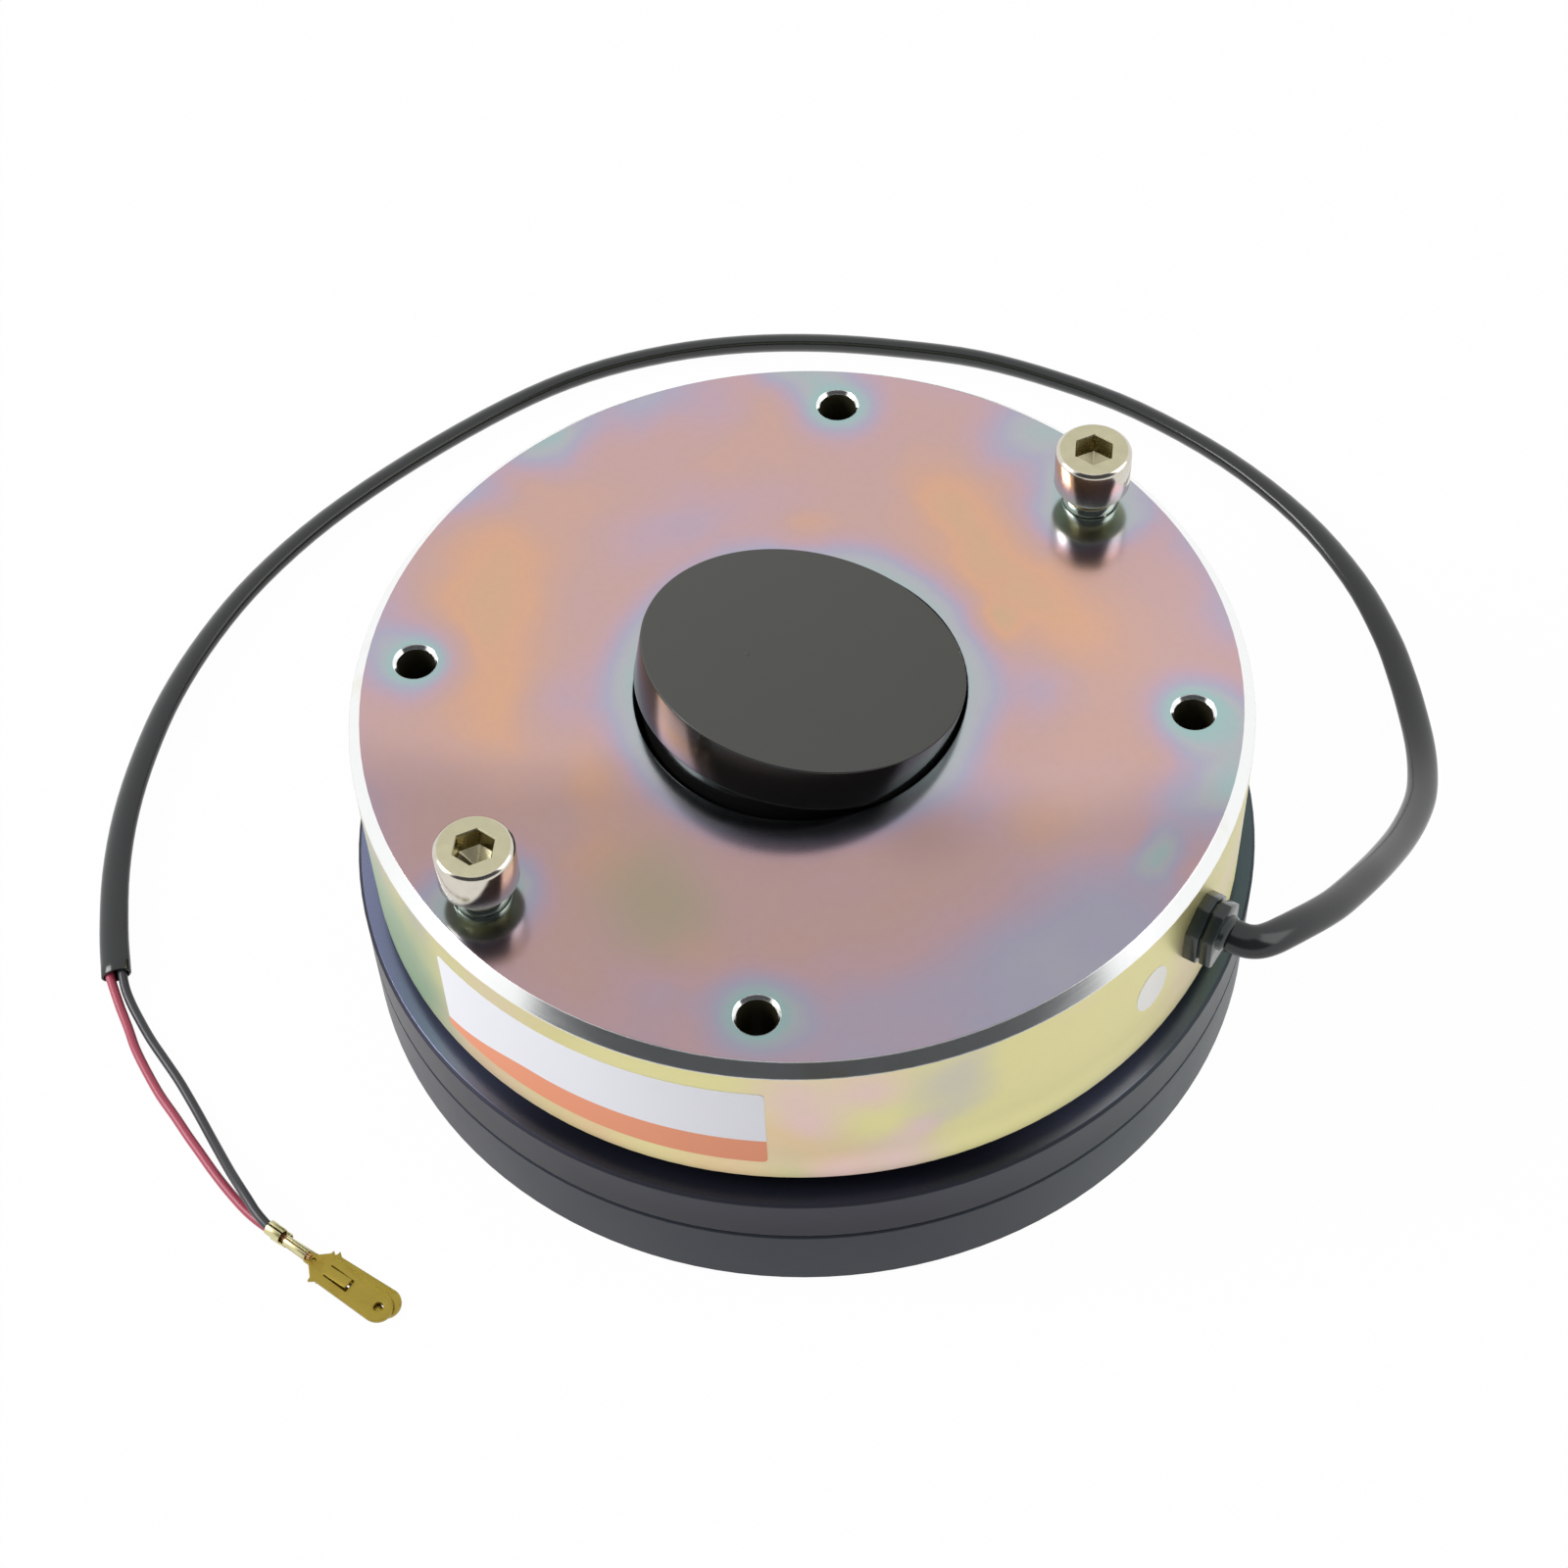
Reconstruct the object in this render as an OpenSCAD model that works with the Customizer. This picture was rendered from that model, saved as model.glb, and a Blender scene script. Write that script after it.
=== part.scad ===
// Spring-applied electromagnetic parking brake.
// The magnet body is on top and the friction flange below, with the armature plate and the friction disc
// between them.
// Z = 0 is the face that bolts to the motor and Z is the shaft axis. Millimetres.

/* [Magnet body] */
// Outside diameter of the magnet body; the bolt circle, the plates, the disc and the bore follow it
body_d = 150; // [140:1:165]
// Height of the magnet body, from its pole face to the top plate
body_h = 34.85; // [34:0.05:42]
// How far the turned-down pole end lies inside the wall
pole_inset = 3.5; // [2:0.25:5]
// Height of the step from the pole face to the outer rim
pole_step = 3.25; // [1.5:0.05:5]
// Height of the chamfer round the top edge
top_chamfer_h = 2; // [1:0.1:5]
// Width of the chamfer round the top edge
top_chamfer_w = 2; // [0.5:0.1:2.5]
// Distance of the coil pocket inside the bolt circle
pocket_inset = 9; // [8:0.5:10]
// Width of the coil pocket
pocket_w = 13; // [11:0.5:14]
// Distance of the bore inside the spring circle
bore_inset = 8; // [6:0.5:8]
// Steel above the coil pocket
pocket_roof = 7.6; // [6:0.1:9]

/* [Coil] */
// Wall of the bobbin
bobbin_wall = 1.5; // [1:0.1:2]
// Height of the resin that closes the pocket
resin_h = 4; // [2:0.1:6]

/* [Brake springs] */
// Number of springs
spring_count = 6; // [4:1:8]
// Distance of the springs' circle inside the coil pocket
spring_inset = 7.5; // [6.5:0.25:8]
// Outside diameter of a spring
spring_d = 9.4; // [8.4:0.1:9.6]
// Spring wire diameter
spring_wire_d = 2; // [1.6:0.1:2.1]
// Turns in a spring, with its closed ends
spring_turns = 7; // [5:1:8]
// Depth of the blind bores for the springs
spring_bore_depth = 22; // [20:0.5:25]
// Radial clearance round a spring
spring_clear = 0.3; // [0.2:0.05:0.5]

/* [Friction flange] */
// How far the flange and the armature plate reach past the magnet body
plate_overhang = 3; // [1.5:0.25:6]
// Height of the friction flange
flange_h = 14.2; // [13.5:0.1:14.3]
// Thickness of the web under the friction disc
web_t = 5; // [4.9:0.05:5.6]
// Room round the friction disc in its recess
recess_gap = 1.5; // [0.75:0.25:2]
// Hole in the middle of the flange
flange_hole_d = 44; // [40:0.5:48]
// Chamfer round the flange's edges
flange_chamfer = 0.8; // [0.3:0.1:1.5]

/* [Armature plate] */
// Thickness of the armature plate
armature_t = 9.7; // [8.5:0.1:12]
// Hole in the middle of the armature plate
armature_hole_d = 46; // [42:0.5:50]
// Travel of the armature plate when the coil pulls it
air_gap = 0.4; // [0.2:0.05:0.8]
// Chamfer round the armature plate's edges
armature_chamfer = 0.5; // [0.2:0.1:1]

/* [Friction disc] */
// Distance of the disc's edge inside the bolt circle
disc_inset = 7.5; // [7.25:0.25:9]
// Thickness over both linings
disc_t = 9.5; // [9.2:0.1:10.5]
// Thickness of the carrier plate between the linings
carrier_t = 3.5; // [2.5:0.1:4.5]
// Diameter of the carrier's toothed boss
boss_d = 52; // [46:0.5:60]
// How far each lining stands past the boss
boss_step = 0.6; // [0.3:0.1:1.5]
// Inside diameter of the linings
lining_in_d = 72; // [66:0.5:80]

/* [Hub] */
// Shaft diameter that the hub is bored for
shaft_d = 20; // [16:1:22]
// Width of the keyway
key_w = 6; // [5:1:6]
// Height of the keyway above the bore wall
key_h = 2.8; // [2.3:0.1:3.3]
// Length of the hub
hub_l = 24; // [20:0.5:27]
// Height of the hub's lower face above the mounting face
hub_z = 3; // [2:0.5:4]
// Number of teeth
tooth_count = 24; // [18:1:26]
// Diameter over the hub's teeth
hub_tip_d = 37.2; // [36:0.2:38]
// Depth of a tooth
tooth_depth = 2.1; // [1.6:0.1:2.4]
// Section of the rubber ring let into the hub's teeth
hub_ring_t = 2; // [1.6:0.1:2.4]

/* [Fixings] */
// Distance of the bolt circle inside the magnet body's wall
fixing_inset = 10.25; // [9:0.25:11]
// Diameter of the fixing holes
fixing_hole_d = 6.4; // [5.5:0.1:7]
// Diameter of the countersinks on the top plate
fixing_sink_d = 7.6; // [7.2:0.1:9]
// Outside diameter of the spacer sleeves
sleeve_d = 10; // [9:0.1:10.6]
// Thread diameter of the assembly screws
assembly_d = 5; // [4:0.5:5]
// Head diameter of the assembly screws
assembly_head_d = 10; // [9:0.5:11]
// Length of the assembly screws
assembly_l = 35; // [30:1:38]

/* [Release screws] */
// Thread diameter of the release screws
release_d = 8; // [7:0.5:8]
// Length of the release screws under the head
release_l = 50; // [49:0.5:51]
// Head diameter
head_d = 13; // [12.5:0.1:14]
// Head height
head_h = 8; // [7:0.1:9]
// Width across the flats of the hexagon socket
socket_af = 6; // [5:0.5:6.5]
// Depth of the hexagon socket
socket_depth = 4; // [3:0.1:5]
// Outside diameter of the lock washers
washer_d = 11; // [10.5:0.1:12.5]
// Thickness of the lock washers
washer_t = 2.2; // [1.6:0.1:2.5]
// Gap between a lock washer and the screw head with the brake set
release_gap = 2.15; // [1.2:0.05:2.2]
// Clearance hole for the release screws in the magnet body
release_hole_d = 9.5; // [9:0.1:10]

/* [Centre cap] */
// How much smaller than the bore the cap's rim is, on the radius
cap_gap = 0.1; // [0.1:0.05:0.8]
// Thickness of the rim
cap_rim_t = 6.1; // [4:0.1:7]
// How far the rim stands past the skirt
cap_rim_w = 2; // [1:0.1:3]
// Wall of the skirt
skirt_wall = 3; // [2:0.1:4]
// Angle at which the cap sits jammed in the bore
cap_lean = 14.1; // [12:0.1:16]
// Compass angle of the cap's low side
cap_low_side = 44; // [0:1:90]
// Height of the cap's lowest top edge above the top plate
cap_lift = 0.45; // [0.1:0.05:1]

/* [Strain relief] */
// Compass angle of the cable entry
entry_angle = -26; // [-34:1:-18]
// Depth of the cable entry below the top plate
entry_depth = 12; // [11:0.1:13]
// Width of the strain relief
relief_w = 10; // [9:0.1:11]
// Height of the strain relief
relief_h = 11; // [10:0.1:12]
// Thickness of the flange that lies on the wall
relief_flange_t = 2.2; // [1.8:0.1:3]
// Thickness of the outer block
relief_block_t = 2; // [1.5:0.1:3]
// Width of the groove between the two
relief_groove = 0.4; // [0.2:0.1:0.8]
// Diameter of the shank in the wall
relief_shank_d = 9; // [8:0.1:9.4]
// Length of the shank in the wall
relief_shank_l = 12; // [8:0.5:14]

/* [Cable] */
// Width of the flat sheath
sheath_w = 6.3; // [5.6:0.1:6.6]
// Thickness of the flat sheath
sheath_t = 3.9; // [3.4:0.1:4.2]
// Diameter of a wire over its insulation
wire_d = 1.7; // [1.5:0.1:2.2]

/* [Terminals] */
// Width of the blade
blade_w = 5.4; // [5:0.1:6.3]
// Thickness of the blade
blade_t = 0.8; // [0.7:0.05:1]
// Length of a terminal
terminal_l = 26.2; // [25:0.1:28]
// Length from the crimp to the blade
blade_start = 10.6; // [10.2:0.1:11.5]
// Outside diameter of the insulation crimp
crimp_d = 2.6; // [2.4:0.1:3]

/* [Hidden] */

$fn = 96;

// Clearances
face_gap = 0.05;
running_gap = 0.05;
seat_gap = 0.02;
tooth_gap = 0.12;
sleeve_hole_gap = 0.5;
eps = 0.01;

// Heights from the mounting face upwards
disc_z = web_t + face_gap;
armature_z = disc_z + disc_t + face_gap;
armature_top = armature_z + armature_t;
pole_z = armature_top + air_gap + face_gap;
rim_z = pole_z + pole_step;
top_z = pole_z + body_h;
pocket_z = top_z - pocket_roof;
spring_seat_z = pole_z + spring_bore_depth;
entry_z = top_z - entry_depth;
head_z = top_z + washer_t + release_gap;
sleeve_l = pole_z - flange_h;

// Radii, from the magnet body's wall inwards
body_r = body_d / 2;
plate_r = body_r + plate_overhang;
pole_r = body_r - pole_inset;
fixing_r = body_r - fixing_inset;
disc_r = fixing_r - disc_inset;
recess_r = disc_r + recess_gap;
pocket_out_r = fixing_r - pocket_inset;
pocket_in_r = pocket_out_r - pocket_w;
springs_r = pocket_in_r - spring_inset;
bore_r = springs_r - bore_inset;
hub_root_r = hub_tip_d / 2 - tooth_depth;
hub_ring_r = hub_root_r - running_gap;
entry_hole_r = relief_shank_d / 2 + running_gap;
wire_hole_r = 3;
relief_face_r = body_r + relief_flange_t + relief_groove + relief_block_t;

// Angles
fixing_angles = [0, 90, 180, 270];
release_angles = [45, 225];
assembly_angles = [135, 315];

// Small edge breaks
edge = 0.4;
screw_tip = 1;
screw_head_edge = 0.7;
bore_edge = 0.5;

module round_about(angles, radius)
    for (angle = angles)
        rotate([0, 0, angle])
        translate([radius, 0, 0])
        children();

module round_bar(radius, z0, z1)
    translate([0, 0, z0])
    cylinder(r = radius, h = z1 - z0);

module ring_of(r_in, r_out, z0, z1)
    rotate_extrude()
    translate([r_in, z0])
    square([r_out - r_in, z1 - z0]);

// Magnet body

module magnet_body()
    color("#cdbfae")
    difference() {
        rotate_extrude()
        polygon([
            [bore_r, pole_z],
            [pocket_in_r, pole_z],
            [pocket_in_r, pocket_z],
            [pocket_out_r, pocket_z],
            [pocket_out_r, pole_z],
            [pole_r - edge, pole_z],
            [pole_r, pole_z + edge],
            [pole_r, rim_z],
            [body_r - edge, rim_z],
            [body_r, rim_z + edge],
            [body_r, top_z - top_chamfer_h],
            [body_r - top_chamfer_w, top_z],
            [bore_r + bore_edge, top_z],
            [bore_r, top_z - bore_edge]]);
        round_about(fixing_angles, fixing_r) {
            round_bar(fixing_hole_d / 2, pole_z - 1, top_z + 1);
            countersink(fixing_hole_d / 2, fixing_sink_d / 2);
        }
        round_about(release_angles, fixing_r)
        round_bar(release_hole_d / 2, pole_z - 1, top_z + 1);
        round_about(assembly_angles, fixing_r)
        round_bar(assembly_d / 2 + running_gap, pole_z - 1, assembly_l + screw_tip);
        round_about(spring_angles, springs_r)
        round_bar(spring_d / 2 + spring_clear, pole_z - 1, spring_seat_z);
        at_entry() {
            along_x(entry_hole_r, body_r - relief_shank_l - running_gap, body_r + 5);
            along_x(wire_hole_r, pocket_out_r - 2, body_r);
        }
    }

module countersink(r_hole, r_top)
    translate([0, 0, top_z - (r_top - r_hole)])
    cylinder(r1 = r_hole, r2 = r_top + eps, h = r_top - r_hole + eps);

module at_entry()
    rotate([0, 0, entry_angle])
    translate([0, 0, entry_z])
    children();

module along_x(radius, x0, x1)
    translate([x0, 0, 0])
    rotate([0, 90, 0])
    cylinder(r = radius, h = x1 - x0);

// Coil, on its bobbin in the pocket and sealed with resin

resin_top = pole_z + edge + resin_h;
bobbin_in_r = pocket_in_r + running_gap;
bobbin_out_r = pocket_out_r - running_gap;
bobbin_top = pocket_z - running_gap;

module coil_bobbin()
    color("#d8cfae")
    rotate_extrude()
    polygon([
        [bobbin_in_r, resin_top],
        [bobbin_out_r, resin_top],
        [bobbin_out_r, resin_top + bobbin_wall],
        [bobbin_in_r + bobbin_wall, resin_top + bobbin_wall],
        [bobbin_in_r + bobbin_wall, bobbin_top - bobbin_wall],
        [bobbin_out_r, bobbin_top - bobbin_wall],
        [bobbin_out_r, bobbin_top],
        [bobbin_in_r, bobbin_top]]);

module coil_winding()
    color("#b0643c")
    ring_of(bobbin_in_r + bobbin_wall, bobbin_out_r - bobbin_wall / 2,
        resin_top + bobbin_wall, bobbin_top - bobbin_wall);

module potting_resin()
    color("#3a2f2a")
    ring_of(bobbin_in_r, bobbin_out_r, pole_z + edge, resin_top);

// Brake springs: helical compression springs with closed end turns

spring_angles = [for (i = [0 : spring_count - 1]) (i + 0.5) * 360 / spring_count];
spring_r = (spring_d - spring_wire_d) / 2;
spring_low = armature_top + spring_wire_d / 2 + seat_gap;
spring_high = spring_seat_z - spring_wire_d / 2 - seat_gap;
spring_steps = 12;
spring_sides = 6;
end_turn_gap = 0.12;
closed_pitch = spring_wire_d + end_turn_gap;

// Height of the wire's centre after t turns: the first and last turn lie close
function open_share(t) = min(max((t - 1) / (spring_turns - 2), 0), 1);
function spring_climb(t) =
    closed_pitch * (min(t, 1) + max(t - spring_turns + 1, 0))
    + (spring_high - spring_low - 2 * closed_pitch) * open_share(t);

spring_rings = [for (i = [0 : spring_turns * spring_steps])
    let (t = i / spring_steps, a = 360 * t, z = spring_low + spring_climb(t))
    [for (k = [0 : spring_sides - 1])
        let (b = 360 * (k + 0.5) / spring_sides, r = spring_r + spring_wire_d / 2 * cos(b))
        [r * cos(a), r * sin(a), z + spring_wire_d / 2 * sin(b)]]];

module brake_springs()
    color("#8f9296")
    round_about(spring_angles, springs_r)
    swept(spring_rings);

// Skin through a list of rings that all have the same number of points
module swept(rings) {
    sides = len(rings[0]);
    last = len(rings) - 1;
    walls = [for (i = [0 : last - 1], k = [0 : sides - 1])
        let (n = (k + 1) % sides, a = i * sides, b = (i + 1) * sides)
        each [[a + k, a + n, b + n], [a + k, b + n, b + k]]];
    near_end = [for (k = [1 : sides - 2]) [0, k + 1, k]];
    far_end = [for (k = [1 : sides - 2]) [last * sides, last * sides + k, last * sides + k + 1]];
    points = [for (ring = rings) each ring];
    polyhedron(points = points, faces = concat(walls, near_end, far_end), convexity = 8);
}

// Friction flange: a cup that the disc turns in, clamped to the magnet body over the sleeves

module friction_flange()
    color("#484c56")
    difference() {
        rotate_extrude()
        polygon([
            [flange_hole_d / 2, edge],
            [flange_hole_d / 2 + edge, 0],
            [plate_r - flange_chamfer, 0],
            [plate_r, flange_chamfer],
            [plate_r, flange_h - flange_chamfer / 2],
            [plate_r - flange_chamfer / 2, flange_h],
            [recess_r, flange_h],
            [recess_r, web_t],
            [flange_hole_d / 2, web_t]]);
        round_about(fixing_angles, fixing_r)
        round_bar(fixing_hole_d / 2, -1, flange_h + 1);
        round_about(release_angles, fixing_r)
        round_bar(release_hole_d / 2, web_t, flange_h + 1);
        round_about(assembly_angles, fixing_r) {
            round_bar(assembly_d / 2 + sleeve_hole_gap / 2, -1, flange_h + 1);
            translate([0, 0, -eps])
            cylinder(r1 = assembly_sink_r + eps, r2 = 0, h = assembly_sink_r + eps);
        }
    }

module spacer_sleeves()
    color("#c9c2a0") {
        round_about(fixing_angles, fixing_r)
        sleeve(fixing_hole_d / 2);
        round_about(assembly_angles, fixing_r)
        sleeve(assembly_d / 2 + 2 * running_gap);
    }

module sleeve(r_in)
    ring_of(r_in, sleeve_d / 2, flange_h, flange_h + sleeve_l);

module assembly_screws()
    color("#3c3e44")
    round_about(assembly_angles, fixing_r)
    difference() {
        rotate_extrude()
        polygon([
            [0, 0],
            [assembly_head_d / 2 - edge, 0],
            [assembly_head_d / 2 - edge, edge / 2],
            [assembly_d / 2, (assembly_head_d - assembly_d) / 2 - edge / 2],
            [assembly_d / 2, assembly_l - screw_tip / 2],
            [assembly_d / 2 - screw_tip / 2, assembly_l],
            [0, assembly_l]]);
        translate([0, 0, -1])
        cylinder(d = hex_across(assembly_socket_af), h = assembly_socket_depth + 1, $fn = 6);
    }

assembly_sink_r = assembly_head_d / 2 + running_gap;
assembly_socket_af = 3;
assembly_socket_depth = 2.2;
function hex_across(flats) = flats / cos(30);

// Armature plate, which slides on the sleeves

module armature_plate()
    color("#565a66")
    difference() {
        rotate_extrude()
        polygon([
            [armature_hole_d / 2, armature_z],
            [plate_r - armature_chamfer / 2, armature_z],
            [plate_r, armature_z + armature_chamfer / 2],
            [plate_r, armature_top - armature_chamfer],
            [plate_r - armature_chamfer, armature_top],
            [armature_hole_d / 2 + edge, armature_top],
            [armature_hole_d / 2, armature_top - edge]]);
        round_about(concat(fixing_angles, assembly_angles), fixing_r)
        round_bar(sleeve_d / 2 + sleeve_hole_gap, armature_z - 1, armature_top + 1);
        round_about(release_angles, fixing_r)
        round_bar(release_d / 2 + running_gap, armature_z - 1, armature_top + 1);
    }

// Friction disc: carrier plate with a toothed boss and a lining bonded to each face

carrier_z = disc_z + (disc_t - carrier_t) / 2;
boss_z = disc_z + boss_step;
boss_h = disc_t - 2 * boss_step;
lining_t = (disc_t - carrier_t) / 2;

module disc_carrier()
    color("#b4b6ba")
    difference() {
        union() {
            round_bar(disc_r, carrier_z, carrier_z + carrier_t);
            round_bar(boss_d / 2, boss_z, boss_z + boss_h);
        }
        translate([0, 0, boss_z - 1])
        linear_extrude(boss_h + 2)
        toothed_outline(tooth_gap);
    }

module lining(z0)
    color("#4a4038")
    ring_of(lining_in_d / 2, disc_r, z0, z0 + lining_t);

module lining_upper() lining(carrier_z + carrier_t);

module lining_lower() lining(disc_z);

// Hub that is keyed to the shaft and carries the disc on its teeth

tooth_step = 360 / tooth_count;
tooth_pitch = PI * hub_tip_d / tooth_count;
tooth_tip_w = 0.35 * tooth_pitch;
tooth_root_w = 0.6 * tooth_pitch;

function half_angle(width, radius) = width * 90 / (PI * radius);

module toothed_outline(gap) {
    root = hub_root_r + gap;
    tip = hub_tip_d / 2 + gap;
    half_root = half_angle(tooth_root_w + gap, root);
    half_tip = half_angle(tooth_tip_w + gap, tip);
    polygon([for (i = [0 : tooth_count - 1])
        each [for (p = [[root, -half_root], [tip, -half_tip], [tip, half_tip], [root, half_root]])
            p[0] * [cos(i * tooth_step + p[1]), sin(i * tooth_step + p[1])]]]);
}

hub_ring_mid = disc_z + disc_t / 2;
hub_bevel = 1;

module rotor_hub()
    color("#a8abb0")
    difference() {
        translate([0, 0, hub_z])
        linear_extrude(hub_l)
        toothed_outline(0);
        round_bar(shaft_d / 2, hub_z - 1, hub_z + hub_l + 1);
        translate([-key_w / 2, 0, hub_z - 1])
        cube([key_w, shaft_d / 2 + key_h, hub_l + 2]);
        ring_of(hub_ring_r - hub_ring_t, hub_tip_d / 2 + hub_bevel,
            hub_ring_mid - hub_ring_t / 2 - running_gap, hub_ring_mid + hub_ring_t / 2 + running_gap);
        hub_end_bevel(hub_z, 1);
        hub_end_bevel(hub_z + hub_l, -1);
    }

module hub_end_bevel(z, side)
    rotate_extrude()
    polygon([
        [hub_tip_d / 2 - hub_bevel, z],
        [hub_tip_d / 2 + hub_bevel, z - side * hub_bevel],
        [hub_tip_d / 2 + hub_bevel, z + 2 * side * hub_bevel]]);

module hub_ring()
    color("#26272a")
    rotate_extrude()
    translate([hub_ring_r - hub_ring_t / 2, hub_ring_mid])
    circle(d = hub_ring_t, $fn = 32);

// Release screws, their lock washers, and the cap in the bore

module release_screw(angle)
    color("#c8c49e")
    rotate([0, 0, angle])
    translate([fixing_r, 0, 0])
    difference() {
        rotate_extrude()
        polygon([
            [0, head_z - release_l],
            [release_d / 2 - screw_tip, head_z - release_l],
            [release_d / 2, head_z - release_l + screw_tip],
            [release_d / 2, head_z],
            [head_d / 2 - screw_head_edge / 2, head_z],
            [head_d / 2, head_z + screw_head_edge / 2],
            [head_d / 2, head_z + head_h - screw_head_edge],
            [head_d / 2 - screw_head_edge, head_z + head_h],
            [0, head_z + head_h]]);
        translate([0, 0, head_z + head_h - socket_depth])
        cylinder(d = hex_across(socket_af), h = socket_depth + 1, $fn = 6);
    }

module release_screw_left() release_screw(release_angles[1]);

module release_screw_right() release_screw(release_angles[0]);

washer_slit = 0.6;

module lock_washers()
    color("#c6c2a8")
    round_about(release_angles, fixing_r)
    difference() {
        ring_of(release_d / 2 + 2 * running_gap, washer_d / 2, top_z, top_z + washer_t);
        translate([washer_d / 4 + release_d / 4, 0, top_z + washer_t / 2])
        rotate([30, 0, 0])
        cube([washer_d / 2, washer_slit, 3 * washer_t], center = true);
    }

// The cap leans: its low rim touches the bore's edge break, and the far end of its skirt the bore
cap_r = bore_r - cap_gap;
skirt_r = cap_r - cap_rim_w;
cap_shift = bore_r - running_gap - cap_r * cos(cap_lean) + (cap_lift + bore_edge) * tan(cap_lean);
cap_top = top_z + cap_lift + cap_r * sin(cap_lean);
cap_depth = (bore_r - running_gap + cap_shift - skirt_r * cos(cap_lean)) / sin(cap_lean);

module centre_cap()
    color("#4a4b49")
    rotate([0, 0, cap_low_side])
    translate([cap_shift, 0, cap_top])
    rotate([0, cap_lean, 0])
    rotate_extrude()
    polygon([
        [0, 0],
        [cap_r - edge, 0],
        [cap_r, -edge],
        [cap_r, -cap_rim_t],
        [skirt_r, -cap_rim_t],
        [skirt_r, -cap_depth],
        [skirt_r - skirt_wall, -cap_depth],
        [skirt_r - skirt_wall, -cap_rim_t],
        [0, -cap_rim_t]]);

// Strain relief: a shank in the wall, a flange curved to the wall, and an outer block

relief_corner = 3.4;
relief_foot = 1;
relief_neck_step = 0.7;
relief_block_step = 0.2;
relief_slit = 0.4;
relief_slit_depth = 0.8;

module relief_slab(x0, x1, less) {
    w = relief_w / 2 - less;
    h = relief_h / 2 - less;
    translate([x0, 0, 0])
    rotate([90, 0, 90])
    linear_extrude(x1 - x0)
    polygon([
        [-w + relief_foot, -h],
        [w - relief_foot, -h],
        [w, -h + relief_foot],
        [w, h - relief_corner],
        [w - relief_corner, h],
        [-w + relief_corner, h],
        [-w, h - relief_corner],
        [-w, -h + relief_foot]]);
}

module strain_relief()
    color("#3b3d41")
    at_entry()
    difference() {
        union() {
            along_x(relief_shank_d / 2, body_r - relief_shank_l, body_r);
            difference() {
                relief_slab(body_r - 2, body_r + relief_flange_t, 0);
                translate([0, 0, -relief_h])
                cylinder(r = body_r + seat_gap, h = 2 * relief_h, $fn = 180);
            }
            along_x(relief_shank_d / 2, body_r - 1, body_r + 1);
            relief_slab(body_r + relief_flange_t, relief_face_r - relief_block_t, relief_neck_step);
            relief_slab(relief_face_r - relief_block_t, relief_face_r, relief_block_step);
        }
        translate([relief_face_r - relief_block_t, -relief_slit / 2, relief_h / 2 - relief_slit_depth])
        cube([relief_block_t + 1, relief_slit, relief_slit_depth + 1]);
    }

// Cable: [x, y, z, tilt] points along the middle of the sheath; tilt turns its flat section.
// The routes are drawn round a 150 mm body, and spread with the body.

route_body_d = 150;
function routed(points) = [for (p = points)
    [for (i = [0 : len(p) - 1]) i < 2 ? p[i] * body_d / route_body_d : p[i]]];

entry_dir = [cos(entry_angle), sin(entry_angle)];
straight_l = 1.8;
straight_r = relief_face_r + straight_l;
sheath_start = [
    [relief_face_r * entry_dir[0], relief_face_r * entry_dir[1], entry_z, 25],
    [straight_r * entry_dir[0], straight_r * entry_dir[1], entry_z, 25]];
sheath_route = concat(sheath_start, routed([
    [75.1, -36.2, 47.4, 25], [77.1, -35.9, 47.1, 24.5], [79.2, -34.6, 46.5, 24], [81.5, -32.4, 45.5, 23],
    [84.1, -29.5, 43.9, 21], [87, -25.9, 41.6, 19], [90, -21.6, 38.8, 17], [93, -16.3, 35.4, 14],
    [96.8, -8.9, 30.6, 11], [100.3, -1.1, 25.2, 8], [103.6, 7, 19.8, 6], [106.5, 15.5, 14.8, 5],
    [108.6, 23.8, 10.5, 5], [109.5, 32, 7, 5], [109.5, 40.1, 4.5, 5], [108.6, 48.2, 3, 6],
    [106.9, 57.3, 2.3, 8], [103.9, 68, 2.2, 14], [97.9, 81.7, 2.3, 22], [87.7, 96.6, 2.5, 32],
    [72.8, 111, 2.7, 42], [54.7, 123, 2.8, 48], [38.1, 130.1, 2.9, 51], [21.9, 134.9, 2.9, 52],
    [5.6, 136.7, 2.9, 52], [-10.6, 137.1, 2.9, 51], [-26.9, 135.6, 2.8, 50], [-42.7, 131.6, 2.8, 48],
    [-58.5, 124.6, 2.8, 46], [-73.1, 114.2, 2.7, 44], [-90, 97.8, 2.7, 41], [-104.5, 80.6, 2.6, 38],
    [-114.6, 64.2, 2.6, 36], [-121.1, 48.9, 2.5, 35], [-125.2, 33.6, 2.5, 33], [-127, 19.2, 2.5, 31],
    [-127.3, 5.5, 2.4, 28], [-126, -7.8, 2.3, 24], [-123.3, -20.6, 2.2, 19], [-120.7, -29.6, 2.2, 15]]));
sheath_sides = 12;

red_route = routed([
    [-121.8, -29.97, 1.9], [-120.3, -32.8, 1.6], [-118.6, -35.9, 1.2], [-116.4, -39.6, 0.95],
    [-114, -43.9, 0.95], [-110.8, -48.5, 0.95], [-107.5, -52.8, 0.95], [-104, -56.7, 0.95],
    [-100.9, -60.3, 0.95], [-98, -63.5, 0.95], [-95.3, -66.5, 0.95], [-92.6, -69.3, 0.95],
    [-90, -71.8, 0.95], [-87.5, -74, 1], [-84.9, -75.9, 1.2], [-82, -77.6, 1.3]]);

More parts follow.
